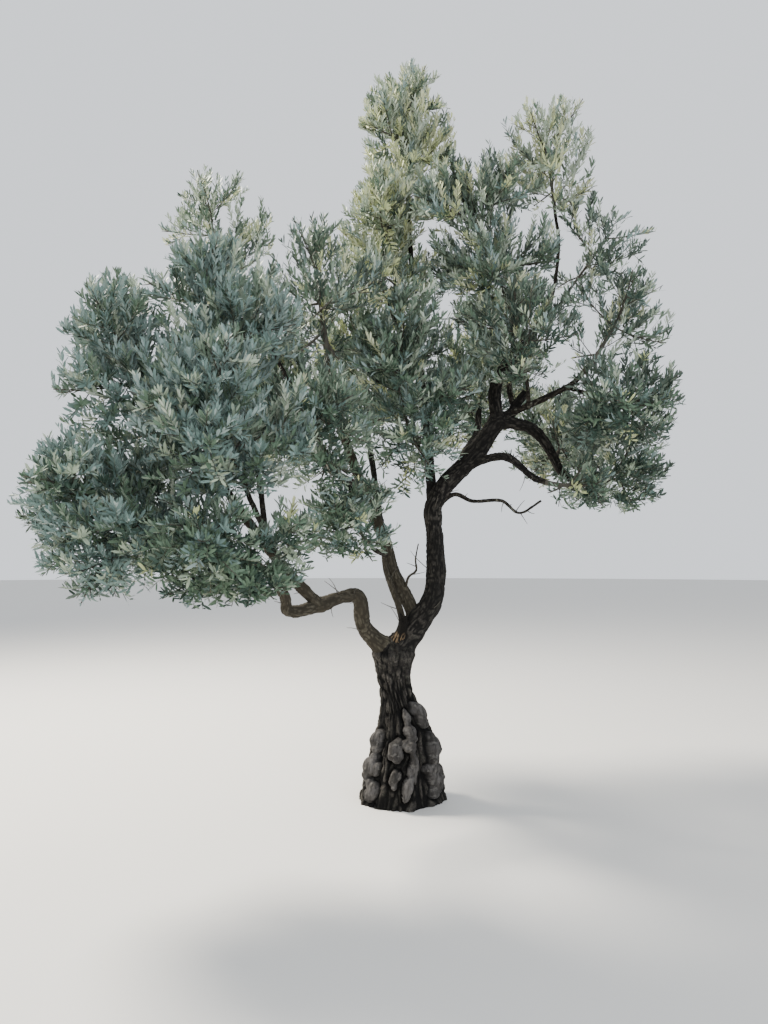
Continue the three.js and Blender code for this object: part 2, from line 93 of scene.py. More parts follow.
def mesh_of(name, vertices, faces):
    """A smooth mesh of the vertices and of arrays of faces, each array with its own number of corners."""
    mesh = bpy.data.meshes.new(name)
    corners = np.concatenate([part.ravel() for part in faces]).astype(np.int32)
    sizes = np.concatenate([np.full(len(part), part.shape[1]) for part in faces])
    starts = (np.cumsum(sizes) - sizes).astype(np.int32)
    mesh.vertices.add(len(vertices))
    mesh.vertices.foreach_set("co", np.ascontiguousarray(vertices, dtype=np.float32).ravel())
    mesh.loops.add(len(corners))
    mesh.loops.foreach_set("vertex_index", corners)
    mesh.polygons.add(len(sizes))
    mesh.polygons.foreach_set("loop_start", starts)
    mesh.update(calc_edges=True)
    mesh.shade_smooth()
    return mesh


def placed(name, mesh, material):
    """The mesh as an object at the origin, with its material."""
    mesh.materials.append(material)
    piece = bpy.data.objects.new(name, mesh)
    bpy.context.collection.objects.link(piece)
    return piece


def new_material(name, roughness):
    """A material with one Principled shader; it returns the material, its nodes' tree and the shader."""
    material = bpy.data.materials.new(name)
    material.use_nodes = True
    shader = material.node_tree.nodes["Principled BSDF"]
    shader.inputs["Roughness"].default_value = roughness
    return material, material.node_tree, shader


def turns_round(count):
    """Even turns round a circle, the last one a step short of the first."""
    return np.linspace(0, FULL_TURN, count, endpoint=False)


def round_upright(radius, turn, height):
    """Points round the upright axis: the radius times the cosine and the sine of the turn, at a height."""
    return np.stack([radius * np.cos(turn), radius * np.sin(turn), height], axis=-1)


floor_turn = turns_round(FLOOR_CORNERS)
floor_rim = round_upright(FLOOR_RADIUS, floor_turn, 0 * floor_turn)
floor_material, _, floor_shader = new_material("floor_matt", FLOOR_ROUGHNESS)
floor_shader.inputs["Base Color"].default_value = FLOOR_COLOUR
floor = placed("floor", mesh_of("floor", floor_rim, [np.arange(FLOOR_CORNERS)[None]]), floor_material)

sky = bpy.data.worlds.new("sky")
sky.use_nodes = True
sky.node_tree.nodes["Background"].inputs["Color"].default_value = SKY_COLOUR
sky.node_tree.nodes["Background"].inputs["Strength"].default_value = SKY_STRENGTH
bpy.context.scene.world = sky

for lamp_name, lamp in LAMPS.items():
    light = bpy.data.lights.new(lamp_name, "AREA")
    light.shape = "DISK"
    light.size = lamp["size"]
    light.energy = lamp["power"]
    light.color = lamp["colour"]
    holder = bpy.data.objects.new(lamp_name, light)
    away = np.array(lamp["place"]) - np.array(lamp["aim"])
    holder.location = lamp["place"]
    holder.rotation_euler = (math.acos(away[2] / np.linalg.norm(away)), 0, math.atan2(away[0], -away[1]))
    bpy.context.collection.objects.link(holder)

# The trunk: one short fluted stem of old wood, narrow at the waist and leaning a little, wider again
# under its fork. Its foot is swollen with smooth burrs that the bark has closed over, and it is cut flat
# at the ground.
TRUNK_TOP = 0.975
TRUNK_WAIST = 0.102
TRUNK_FLARE = dict(size=0.138, low=0.120, high=0.740)
TRUNK_TOES = dict(size=0.020, high=0.170)
TRUNK_SHOULDER = dict(size=0.030, low=0.82, high=0.96)
# The skin closes over the fork from this share of its height, down to this share of its width
TRUNK_CROWN = dict(size=0.5, low=0.91)
TRUNK_LEAN = dict(right=0.024, right_by=(0, 0.400), left=0.062, left_by=(0.430, 0.800))
# Depth, flutes in a turn and start of each, first the ones that only the foot has
TOE_FLUTES = (0.07, 4, 0.6)
FLUTES = (0.05, 5)
FLUTE_TWIST = 0.26
FINE_FLUTES = (0.03, 9, -1)
TRUNK_GRID = dict(rings=330, turns=264)
# Degrees round the trunk, height, half width and half length of each burr
BURRS = [
    (-32, 0.545, 0.044, 0.062), (-24, 0.335, 0.056, 0.074), (-28, 0.215, 0.050, 0.044),
    (-24, 0.130, 0.054, 0.066), (-78, 0.530, 0.030, 0.040), (-76, 0.445, 0.042, 0.048),
    (-80, 0.372, 0.046, 0.034), (-74, 0.250, 0.026, 0.084), (-82, 0.140, 0.038, 0.056),
    (-108, 0.345, 0.040, 0.056), (-104, 0.190, 0.030, 0.044), (-156, 0.380, 0.044, 0.058),
    (-152, 0.230, 0.046, 0.066), (-140, 0.090, 0.040, 0.060),
]
BACK_BURRS = dict(count=6, turns=(20, 160), heights=(0.120, 0.430), sizes=(0.036, 0.054), long=1.25, seed=3)
BURR_SUNK = 0.25
BURR_LOBES = dict(count=3, spread=0.85, sizes=(0.45, 0.75), lowest=0.06)
# The hollow round each burr: how deep it sinks, how far out it reaches in burr sizes, and how much of the
# bark's plate colour it takes down to the dark crack colour there, as painted shade in the hollow
BURR_HOLLOW = dict(depth=0.020, reach=1.9, painted_shade=0.92)
# How far the burrs' outlines are warped, and the depths of the lumps and pores of their skin
BURR_WARP = dict(rise=0.012, turn=0.06)
BURR_SKIN = dict(lumps=0.005, pores=0.0015)
BURR_BLEND = 0.008
BURR_EDGE = (-0.010, 0.003)
# Where burrs stand the trunk is about this wide from its middle
FOOT_RADIUS = 0.2
TRUNK_BARK = dict(depth=0.015, level=0.7, width=0.0095, length=0.065, sway=0.03, sways=3, seed=11)
RIBS = dict(depth=0.024, waist=0.12, foot=(0.30, 0.70), count=11, length=0.45, lean=0.01, waves=22,
            width=0.35, seed=14)
# Noises on the trunk: the length of a cell, the cells in a turn and the seed
LUMPS_NOISE = (0.030, 46, 17)
PORES_NOISE = (0.011, 120, 19)
RISE_NOISE = (0.06, 22, 23)
TURN_NOISE = (0.05, 26, 24)
TINY = 1e-9
# Bark plates: the length of their sway and of the finer crazing in plate lengths, how far they sway and
# slant in plate widths and lengths, how wide the furrows are, and how much the crazing takes off
PLATES = dict(sway_length=2.5, fine_length=0.35, sway=0.45, slant=0.4, furrow=(0.02, 0.72), crazed=0.35,
              fine_furrow=(0.0, 0.4))


def smooth_between(value, low, high):
    """0 up to low and 1 from high on. Between them it is three times the square of the share less twice
    its cube."""
    share = np.clip((value - low) / (high - low), 0, 1)
    return share * share * (3 - 2 * share)


def lattice_noise(turn_share, rows_along, cells_round, seed):
    """Noise from -1 to 1 on a lattice of random values that closes on itself after one turn. Each value
    is the mean of the four round its cell, weighted by a smooth step of its place in the cell."""
    column_place = np.mod(turn_share, 1) * cells_round
    column = np.floor(column_place).astype(int) % cells_round
    next_column = (column + 1) % cells_round
    row = np.floor(rows_along).astype(int)
    first_row = row.min()
    values = np.random.default_rng(seed).uniform(-1, 1, (row.max() - first_row + 2, cells_round))
    across = smooth_between(column_place - np.floor(column_place), 0, 1)
    along = smooth_between(rows_along - row, 0, 1)
    row = row - first_row
    near = values[row, column] * (1 - across) + values[row, next_column] * across
    far = values[row + 1, column] * (1 - across) + values[row + 1, next_column] * across
    return near * (1 - along) + far * along


def bark_plates(turn_share, along, cells_round, plate_length, seed):
    """The bark's height, from 0 in a crack to 1 on a plate: a smooth step of the size of a noise drawn
    out along the limb, so that a crack runs wherever it crosses zero, times the same of a finer noise
    that crazes the plates."""
    sway_cells = max(3, cells_round // 3)
    sway = lattice_noise(turn_share, along / (PLATES["sway_length"] * plate_length), sway_cells, seed + 1)
    swayed = turn_share + PLATES["sway"] * sway / cells_round
    broad = lattice_noise(swayed, along / plate_length + PLATES["slant"] * sway, cells_round, seed)
    fine = lattice_noise(swayed, along / (PLATES["fine_length"] * plate_length), 2 * cells_round, seed + 2)
    crazing = smooth_between(np.abs(fine), *PLATES["fine_furrow"])
    crazed = 1 - PLATES["crazed"] + PLATES["crazed"] * crazing
    return smooth_between(np.abs(broad), *PLATES["furrow"]) * crazed


def squares_between(point):
    """The squares between neighbours on neighbouring rings of numbered points."""
    beside = np.roll(point, -1, axis=-1)
    corners = [point[..., :-1, :], beside[..., :-1, :], beside[..., 1:, :], point[..., 1:, :]]
    return np.stack(corners, axis=-1).reshape(-1, 4)


def closed_skin(name, grid, masks):
    """A closed skin over rings of points: squares between the rings, and a fan from the first and from
    the last ring to its middle. Each mask holds a value for every point and becomes an attribute."""
    rings, turns = grid.shape[:2]
    vertices = np.concatenate([grid.reshape(-1, 3), grid[:1].mean(axis=1), grid[-1:].mean(axis=1)])
    point = np.arange(rings * turns).reshape(rings, turns)
    beside = np.roll(point, -1, axis=1)
    foot = np.stack([beside[0], point[0], np.full(turns, rings * turns)], axis=-1)
    tip = np.stack([point[-1], beside[-1], np.full(turns, rings * turns + 1)], axis=-1)
    mesh = mesh_of(name, vertices, [squares_between(point), np.concatenate([foot, tip])])
    for mask_name, values in masks.items():
        flat = values.reshape(rings * turns, -1)
        ends = np.stack([values[end].reshape(turns, -1).mean(axis=0) for end in (0, -1)])
        full = np.concatenate([flat, ends]).astype(np.float32)
        kind = "FLOAT_VECTOR" if full.shape[1] == 3 else "FLOAT"
        attribute = mesh.attributes.new(mask_name, kind, "POINT")
        attribute.data.foreach_set("vector" if kind == "FLOAT_VECTOR" else "value", full.ravel())
    return mesh


def unit(vectors):
    """Each vector divided by its length."""
    return vectors / np.maximum(np.linalg.norm(vectors, axis=-1, keepdims=True), TINY)


def outward_of(grid):
    """The outward direction at each point of a grid of rings: the cross product of the steps to its
    neighbours."""
    round_step = np.roll(grid, -1, axis=1) - np.roll(grid, 1, axis=1)
    return unit(np.cross(round_step, np.gradient(grid, axis=0)))


def trunk_radius(height, turn):
    """The waist's radius plus smooth steps of the height for the swollen foot and the shoulder under the
    fork and a square for the toes, all times one plus the cosines of the turn that flute it."""
    foot = 1 - smooth_between(height, TRUNK_FLARE["low"], TRUNK_FLARE["high"])
    toes = np.maximum(0, 1 - height / TRUNK_TOES["high"]) ** 2
    low, high = TRUNK_SHOULDER["low"] * TRUNK_TOP, TRUNK_SHOULDER["high"] * TRUNK_TOP
    fork = smooth_between(height, low, high)
    shape = 1 + TOE_FLUTES[0] * foot * np.cos(TOE_FLUTES[1] * turn + TOE_FLUTES[2])
    shape = shape + FLUTES[0] * np.cos(FLUTES[1] * turn + height / FLUTE_TWIST)
    shape = shape + FINE_FLUTES[0] * np.cos(FINE_FLUTES[1] * turn + FINE_FLUTES[2])
    sizes = TRUNK_FLARE["size"] * foot + TRUNK_TOES["size"] * toes + TRUNK_SHOULDER["size"] * fork
    return (TRUNK_WAIST + sizes) * shape


def trunk_middle(height):
    """How far right the middle line is: one smooth step of the height to the right over the foot, less a
    larger one at the waist."""
    right = TRUNK_LEAN["right"] * smooth_between(height, *TRUNK_LEAN["right_by"])
    return right - TRUNK_LEAN["left"] * smooth_between(height, *TRUNK_LEAN["left_by"])


def melted(first, second, width):
    """The larger of two heights, plus a quarter of the width times the square of how near they are, so
    that they round over where they come within that width of each other."""
    near = np.clip(1 - np.abs(first - second) / width, 0, 1)
    return np.maximum(first, second) + width * near * near / 4


turn_share, ring_share = np.meshgrid(
    np.linspace(0, 1, TRUNK_GRID["turns"], endpoint=False), np.linspace(0, 1, TRUNK_GRID["rings"])
)
turn = turn_share * FULL_TURN
height = ring_share * TRUNK_TOP
bare_radius = trunk_radius(height, turn)
closing = smooth_between(ring_share, TRUNK_CROWN["low"], 1.0)
bare_radius = bare_radius * (1 - (1 - TRUNK_CROWN["size"]) * closing)

burr_random = np.random.default_rng(BACK_BURRS["seed"])
burrs = list(BURRS)
for number in range(BACK_BURRS["count"]):
    burr_share = (number + 0.5) / BACK_BURRS["count"]
    burr_size = burr_random.uniform(*BACK_BURRS["sizes"])
    burr_height = burr_random.uniform(*BACK_BURRS["heights"])
    burr_turn = (1 - burr_share) * BACK_BURRS["turns"][0] + burr_share * BACK_BURRS["turns"][1]
    burrs.append((burr_turn, burr_height, burr_size, burr_size * BACK_BURRS["long"]))
for degrees, middle_height, half_width, half_length in list(burrs):
    for bearing in burr_random.uniform(0, FULL_TURN, BURR_LOBES["count"]):
        lobe_size = burr_random.uniform(*BURR_LOBES["sizes"])
        aside = math.degrees(BURR_LOBES["spread"] * half_width * math.cos(bearing) / FOOT_RADIUS)
        above = BURR_LOBES["spread"] * half_length * math.sin(bearing)
        lobe_height = max(BURR_LOBES["lowest"], middle_height + above)
        burrs.append((degrees + aside, lobe_height, half_width * lobe_size, half_length * lobe_size))

trunk_cells = round(FULL_TURN * TRUNK_WAIST / TRUNK_BARK["width"])
swayed_height = height + TRUNK_BARK["sway"] * np.cos(TRUNK_BARK["sways"] * turn)
trunk_plates = bark_plates(turn_share, swayed_height, trunk_cells, TRUNK_BARK["length"], TRUNK_BARK["seed"])
foot_share = 1 - smooth_between(height, *RIBS["foot"])
rib_turn = turn_share + RIBS["lean"] * np.cos(height * RIBS["waves"])
ribs = np.abs(lattice_noise(rib_turn, height / RIBS["length"], RIBS["count"], RIBS["seed"]))
rib_depth = RIBS["depth"] * (RIBS["waist"] + (1 - RIBS["waist"]) * foot_share)
barked = bare_radius + TRUNK_BARK["depth"] * (trunk_plates - TRUNK_BARK["level"])
barked = barked - rib_depth * (1 - smooth_between(ribs, 0, RIBS["width"]))
lumps, pores, rise_noise, turn_noise = (
    lattice_noise(turn_share, height / length, cells, seed)
    for length, cells, seed in (LUMPS_NOISE, PORES_NOISE, RISE_NOISE, TURN_NOISE)
)
warped_height = height + BURR_WARP["rise"] * rise_noise
warped_turn = turn + BURR_WARP["turn"] * turn_noise
radius = barked
burr_cover = np.zeros_like(radius)
halo = np.zeros_like(radius)
bulges = []
for degrees, middle_height, half_width, half_length in burrs:
    burr_turn = math.radians(degrees)
    out = trunk_radius(np.array(middle_height), burr_turn) - half_width * BURR_SUNK
    level = 1 - ((warped_height - middle_height) / half_length) ** 2
    section = half_width * np.sqrt(np.maximum(level, 0))
    off_line = out * np.sin(warped_turn - burr_turn)
    facing = np.cos(warped_turn - burr_turn)
    inside = (level > 0) & (np.abs(off_line) < section) & (facing > 0)
    bulge = out * facing + np.sqrt(np.maximum(section**2 - off_line**2, 0))
    bulges.append(np.where(inside, bulge + BURR_SKIN["lumps"] * lumps + BURR_SKIN["pores"] * pores, 0))
    off = np.sqrt(np.maximum(1 - level, 0) + (off_line / half_width) ** 2)
    halo = np.maximum(halo, (1 - smooth_between(off, 1.0, BURR_HOLLOW["reach"])) * (facing > 0))
radius = radius - BURR_HOLLOW["depth"] * halo
for bulge in bulges:
    burr_cover = np.maximum(burr_cover, smooth_between(bulge - barked, *BURR_EDGE))
    radius = np.where(bulge > 0, melted(radius, bulge, BURR_BLEND), radius)
# Round the burrs the plates' colour, not their shape, is taken down towards the dark crack colour: painted
# shade in the hollows
trunk_plates = trunk_plates * (1 - BURR_HOLLOW["painted_shade"] * halo * (1 - burr_cover))

trunk_straight = round_upright(radius, turn, height)
trunk_grid = trunk_straight + np.stack([trunk_middle(height), 0 * height, 0 * height], axis=-1)

# Limbs: old pruned boughs and the thinner limbs on them. Each leaves the middle line of its parent at a
# share of the parent's length, runs through its own knots and tapers. One that feeds foliage ends where
# it enters that mass, and an elbow goes on from the end of its parent with no collar.
LIMBS = {
    # The right bough rises in an S from the fork to a gnarled knuckle
    "bough_right": dict(parent="trunk", at=0.87, radii=(0.074, 0.054),
        knots=[(0, 0, 0.945), (0.075, 0, 1.035), (0.205, 0, 1.24), (0.228, 0, 1.4), (0.208, 0, 1.85)]),
    "bough_right_upper": dict(parent="bough_right", at=0.98, radii=(0.054, 0.058), elbow=True,
        knots=[(0.285, 0, 1.965), (0.413, 0, 2.1), (0.523, 0, 2.235), (0.64, 0, 2.4)]),
    # The left bough leaves low, turns up and over, and drops into an elbow before its limbs rise towards
    # the front
    "bough_left": dict(parent="trunk", at=0.86, radii=(0.062, 0.043),
        knots=[(-0.095, -0.02, 0.93), (-0.225, -0.075, 1.08), (-0.25, -0.16, 1.26), (-0.3, -0.205, 1.302)]),
    "bough_left_drop": dict(parent="bough_left", at=0.95, radii=(0.04, 0.041), elbow=True,
        knots=[(-0.393, -0.3, 1.264), (-0.488, -0.38, 1.226)]),
    "bough_left_low": dict(parent="bough_left_drop", at=0.94, radii=(0.036, 0.034), elbow=True,
        knots=[(-0.57, -0.45, 1.205), (-0.672, -0.545, 1.204)]),
    "bough_left_high": dict(parent="bough_left_drop", at=0.93, radii=(0.036, 0.02), elbow=True,
        mass="foliage_left_mid", knots=[(-0.584, -0.48, 1.347), (-0.76, -0.69, 1.59), (-1, -0.83, 1.94)]),
    "limb_left_low": dict(parent="bough_left_low", at=0.94, radii=(0.031, 0.018), elbow=True,
        mass="foliage_left_low",
        knots=[(-0.655, -0.59, 1.29), (-0.79, -0.78, 1.472), (-1.01, -0.92, 1.56)]),
    "limb_left_skirt": dict(parent="limb_left_low", at=0.25, radii=(0.018, 0.013),
        mass="foliage_left_skirt", knots=[(-0.74, -0.86, 1.44)]),
    "limb_left_front": dict(parent="bough_left_high", at=0.35, radii=(0.018, 0.013),
        mass="foliage_left_front", knots=[(-0.77, -0.83, 1.72)]),
    "limb_left_crest": dict(parent="bough_left_high", at=0.46, radii=(0.019, 0.013),
        mass="foliage_left_crest", knots=[(-0.79, -0.72, 1.95), (-0.85, -0.79, 2.23)]),
    # The middle bough leans back over to the left from the foot of the right one
    "bough_middle": dict(parent="bough_right", at=0.22, radii=(0.046, 0.024), mass="foliage_centre_high",
        knots=[(0.085, 0.03, 1.15), (-0.042, 0.1, 1.438), (-0.093, 0.12, 1.62), (-0.225, 0.09, 1.93),
               (-0.42, -0.13, 2.52)]),
    "limb_centre_low": dict(parent="bough_middle", at=0.28, radii=(0.018, 0.012),
        mass="foliage_centre_low", knots=[(-0.16, -0.01, 1.56)]),
    "limb_centre_front": dict(parent="bough_middle", at=0.46, radii=(0.024, 0.014),
        mass="foliage_centre_front", knots=[(-0.26, -0.07, 1.88), (-0.35, -0.27, 1.98)]),
    "limb_back_left": dict(parent="bough_middle", at=0.54, radii=(0.027, 0.018),
        mass="foliage_back_left", knots=[(-0.42, 0.33, 2.08), (-0.64, 0.56, 2.26)]),
    "limb_back_left_top": dict(parent="limb_back_left", at=0.45, radii=(0.018, 0.013),
        mass="foliage_back_left_top", knots=[(-0.64, 0.4, 2.5), (-0.85, 0.4, 2.9), (-1.12, 0.48, 3.38)]),
    "limb_back_centre": dict(parent="bough_middle", at=0.38, radii=(0.026, 0.016),
        mass="foliage_back_centre", knots=[(-0.16, 0.38, 2.02), (-0.22, 0.7, 2.45)]),
    # The upright limb goes on from the bend of the right bough to the top of the crown
    "bough_upright": dict(parent="bough_right", at=0.94, radii=(0.034, 0.016), mass="foliage_tall_top",
        knots=[(0.205, 0.06, 1.96), (0.192, 0.11, 2.2), (0.16, 0.25, 2.6), (0.13, 0.33, 3.05),
               (0.07, 0.29, 3.85)]),
    "limb_heart": dict(parent="bough_upright", at=0.16, radii=(0.018, 0.013),
        mass="foliage_heart", knots=[(0.11, 0.02, 2.24)]),
    "limb_tall_left": dict(parent="bough_upright", at=0.48, radii=(0.017, 0.013),
        mass="foliage_tall_left", knots=[(0, 0.33, 3.08), (-0.09, 0.32, 3.35)]),
    # Two sawn stubs stand on the knuckle, and thin risers carry the right of the crown past them
    "stub_upper": dict(parent="bough_right_upper", at=0.98, radii=(0.042, 0.034),
        knots=[(0.618, 0, 2.5), (0.618, 0, 2.6), (0.698, 0, 2.785)]),
    "stub_side": dict(parent="bough_right_upper", at=0.98, radii=(0.034, 0.026), elbow=True,
        knots=[(0.725, 0, 2.445), (0.765, 0, 2.51), (0.818, 0, 2.575)]),
    "limb_rise": dict(parent="stub_side", at=0.5, radii=(0.018, 0.013), mass="foliage_right_mid",
        knots=[(0.716, 0.04, 2.6), (0.742, 0.05, 2.93), (0.736, 0.04, 3.1)]),
    "limb_right_top": dict(parent="limb_rise", at=0.38, radii=(0.014, 0.011), elbow=True,
        mass="foliage_right_top", knots=[(0.85, 0.15, 2.96), (1.01, 0.18, 3.2), (1.06, 0.09, 3.6)]),
    "limb_right_upper": dict(parent="limb_right_top", at=0.3, radii=(0.01, 0.009), elbow=True,
        mass="foliage_right_upper", knots=[(1.04, 0.14, 3.16)]),
    # The drooping bough and the arm above it spread to the right
    "bough_droop": dict(parent="bough_right_upper", at=0.97, radii=(0.04, 0.031), elbow=True,
        knots=[(0.72, 0, 2.375), (0.85, 0.02, 2.348), (0.943, 0.04, 2.262), (1.017, 0.06, 2.132)]),
    "bough_droop_end": dict(parent="bough_droop", at=0.97, radii=(0.029, 0.018), elbow=True,
        mass="foliage_right_droop", knots=[(1.04, 0.066, 2.085), (1.098, 0.08, 2.03), (1.204, 0.09, 1.99)]),
    "limb_right_back": dict(parent="bough_droop", at=0.93, radii=(0.018, 0.013),
        mass="foliage_right_back", knots=[(1.05, 0.22, 2.18), (1.09, 0.33, 2.23)]),
    "arm_right": dict(parent="stub_side", at=0.38, radii=(0.022, 0.015), elbow=True,
        mass="foliage_right_side",
        knots=[(0.78, -0.05, 2.462), (0.914, -0.12, 2.515), (1.08, -0.19, 2.6), (1.17, -0.2, 2.7)]),
    "limb_right_centre": dict(parent="arm_right", at=0.22, radii=(0.015, 0.011),
        mass="foliage_right_centre", knots=[(0.8, -0.16, 2.56)]),
    "limb_right_low": dict(parent="arm_right", at=0.66, radii=(0.012, 0.01),
        mass="foliage_right_low", knots=[(1.11, -0.29, 2.52)]),
    # Lower limbs leave the right bough below the knuckle
    "bough_low_right": dict(parent="bough_right_upper", at=0.4, radii=(0.032, 0.017),
        mass="foliage_right_skirt",
        knots=[(0.519, -0.08, 2.127), (0.659, -0.16, 2.136), (0.816, -0.24, 2), (0.88, -0.29, 1.965)]),
    "limb_low_thin": dict(parent="bough_right", at=0.96, radii=(0.016, 0.007),
        knots=[(0.348, -0.01, 1.915), (0.457, -0.06, 1.869), (0.631, -0.16, 1.862), (0.726, -0.22, 1.784),
               (0.846, -0.3, 1.852)]),
    "limb_back_right": dict(parent="bough_right_upper", at=0.44, radii=(0.034, 0.02),
        mass="foliage_back_right", knots=[(0.45, 0.28, 2.22), (0.56, 0.56, 2.4)]),
    # Two stems too thin for nodes of their own stand beside the middle bough's foot
    "stem_beside": dict(parent="bough_right", at=0.16, radii=(0.023, 0.016), beside="bough_middle",
        knots=[(-0.003, 0, 1.19), (-0.050, 0.035, 1.32), (-0.082, 0.06, 1.41), (-0.10, 0.095, 1.53),
               (-0.11, 0.13, 1.64)]),
    "stem_twig": dict(parent="bough_middle", at=0.13, radii=(0.010, 0.004), beside="bough_middle",
        knots=[(0.055, 0.02, 1.385), (0.104, 0, 1.43), (0.100, -0.02, 1.5), (0.118, -0.03, 1.6)]),
    # A rotten stump is left in the fork
    "stub_crotch": dict(parent="trunk", at=0.9, radii=(0.042, 0.034),
        knots=[(0, -0.04, 1.01), (0.022, -0.055, 1.09), (0.024, -0.06, 1.15)]),
}
# Limbs that go on as one skin of bark through their knuckles
CARRIED_ON = [
    ["bough_right", "bough_right_upper", "bough_droop", "bough_droop_end"],
    ["bough_left", "bough_left_drop", "bough_left_low", "limb_left_low"],
]
LIMB_ENTRY = 0.86
COLLAR = dict(size=0.22, fade=1.4)
# Slow swellings along a limb, which start at another place for each radius
KNUCKLES = dict(size=0.05, every=0.300, shift=1000)
LINE_STEPS = 48
# A skin has a ring of points every tenth of its radius, within these limits
RING_STEP = dict(share=0.1, least=0.0035, most=0.0055)
# Where limbs go on from one another, their line and radii are smoothed over these lengths
RUN_SOFTENED = dict(line=0.022, radii=0.03)
# Limbs and their neighbours are only compared where they come this near, by every fourth point of a line
NEARBY = 0.2
FAR_AWAY = 9.0
LINE_SKIP = 4
WEB_WIDTH = 0.32
# Spaces of the foliage. Each has its middle and half sizes, the shares of its twigs and of its leaf pairs
# that the tree has kept, how much its shoots turn up, and the light that it stands in.
MASS_TERMS = ("middle", "half", "full", "leaves", "lift", "light")
MASSES = {
    "foliage_left_low": ((-1.44, -1.13, 1.75), (0.47, 0.54, 0.5), 1, 1, 0.15, "haze"),
    "foliage_left_mid": ((-1.36, -0.96, 2.45), (0.44, 0.52, 0.65), 1, 1, 0.8, "haze"),
    "foliage_left_front": ((-0.9, -1.29, 2.14), (0.47, 0.48, 0.5), 1, 1, 0.6, "haze"),
    "foliage_left_skirt": ((-0.9, -1.22, 1.58), (0.5, 0.46, 0.33), 0.94, 1, -0.3, "green"),
    "foliage_left_crest": ((-0.96, -0.98, 2.76), (0.44, 0.48, 0.43), 0.94, 1, 0.9, "haze"),
    "foliage_centre_low": ((-0.31, -0.25, 1.74), (0.36, 0.37, 0.28), 0.94, 0.85, 0.1, "green"),
    "foliage_centre_front": ((-0.5, -0.66, 2.23), (0.4, 0.43, 0.44), 0.94, 0.9, 0.3, "green"),
    "foliage_centre_high": ((-0.5, -0.3, 3.14), (0.43, 0.47, 0.47), 0.64, 0.72, 0.8, "shade"),
    "foliage_tall_top": ((0.06, 0.28, 4.47), (0.35, 0.38, 0.5), 1, 1, 1, "sun"),
    "foliage_tall_left": ((-0.02, 0.23, 3.72), (0.41, 0.42, 0.54), 1, 1, 0.9, "sun"),
    "foliage_heart": ((0.07, -0.21, 2.6), (0.44, 0.42, 0.79), 0.92, 0.9, 0.5, "green"),
    "foliage_right_top": ((0.98, 0, 4.13), (0.37, 0.4, 0.43), 0.74, 0.8, 1, "sun"),
    "foliage_right_mid": ((0.54, -0.02, 3.64), (0.56, 0.46, 0.57), 0.94, 0.9, 0.8, "mixed"),
    "foliage_right_upper": ((1.33, 0.08, 3.56), (0.38, 0.4, 0.36), 0.54, 0.66, 0.9, "shade"),
    "foliage_right_side": ((1.33, -0.18, 3), (0.38, 0.43, 0.35), 0.68, 0.66, 0.7, "shade"),
    "foliage_right_low": ((1.25, -0.56, 2.39), (0.38, 0.42, 0.35), 0.9, 0.84, 0.3, "shade"),
    "foliage_right_centre": ((0.72, -0.33, 2.89), (0.44, 0.4, 0.34), 0.88, 0.62, 0.7, "shade"),
    "foliage_right_droop": ((1.41, 0.06, 2.1), (0.36, 0.39, 0.33), 0.9, 0.84, -0.2, "shade"),
    "foliage_right_skirt": ((1.06, -0.4, 1.96), (0.21, 0.24, 0.19), 0.86, 0.72, -0.2, "shade"),
    "foliage_right_back": ((1.2, 0.72, 2.42), (0.47, 0.46, 0.42), 0.87, 1, 0.2, "mixed"),
    "foliage_back_left_top": ((-1.3, 0.56, 3.8), (0.43, 0.45, 0.58), 0.66, 0.86, 0.8, "mixed"),
    "foliage_back_left": ((-1.06, 0.86, 2.69), (0.56, 0.56, 0.69), 0.87, 1, 0.4, "mixed"),
    "foliage_back_centre": ((-0.26, 1.12, 3.08), (0.52, 0.52, 0.56), 0.87, 1, 0.5, "mixed"),
    "foliage_back_right": ((0.68, 1.08, 2.98), (0.52, 0.52, 0.62), 0.87, 1, 0.5, "mixed"),
}
MASSES = {name: dict(zip(MASS_TERMS, row)) for name, row in MASSES.items()}


def radius_towards(half, directions):
    """How far an ellipsoid reaches from its middle: one over the length of the direction divided by its
    half sizes."""
    return 1 / np.linalg.norm(directions / np.array(half), axis=-1)


def spline_line(knots):
    """A smooth line through knots: between each two a cubic, the sum of start, slope t, bend t squared
    and twist t cubed. Its slopes follow from the neighbours with steps of the square root of the
    distance, and past its ends the line is mirrored."""
    knots = np.array(knots, dtype=float)
    knots = np.concatenate([2 * knots[:1] - knots[1:2], knots, 2 * knots[-1:] - knots[-2:-1]])
    pieces = []
    t = np.linspace(0, 1, LINE_STEPS, endpoint=False)[:, None]
    for before, start, end, after in zip(knots[:-3], knots[1:-2], knots[2:-1], knots[3:]):
        gap_in, gap, gap_out = (np.sqrt(np.linalg.norm(b - a)) for a, b in
                                ((before, start), (start, end), (end, after)))
        slope = ((start - before) / gap_in - (end - before) / (gap_in + gap) + (end - start) / gap) * gap
        leave = ((end - start) / gap - (after - start) / (gap + gap_out) + (after - end) / gap_out) * gap
        bend = -3 * start + 3 * end - 2 * slope - leave
        twist = 2 * start - 2 * end + slope + leave
        pieces.append(start + slope * t + bend * t**2 + twist * t**3)
    return np.concatenate(pieces + [knots[-2:-1]])


def lengths_along(line):
    """The distance along a line of points from its first point to each: the running sum of its steps."""
    return np.concatenate([[0], np.cumsum(np.linalg.norm(np.diff(line, axis=0), axis=1))])


def points_at(line, along, places):
    """The points of a line at given distances along it, by straight steps between its own points."""
    return np.stack([np.interp(places, along, line[:, axis]) for axis in range(3)], axis=-1)


def point_on(line, share):
    """The point at a share of the line's length."""
    along = lengths_along(line)
    return points_at(line, along, share * along[-1])


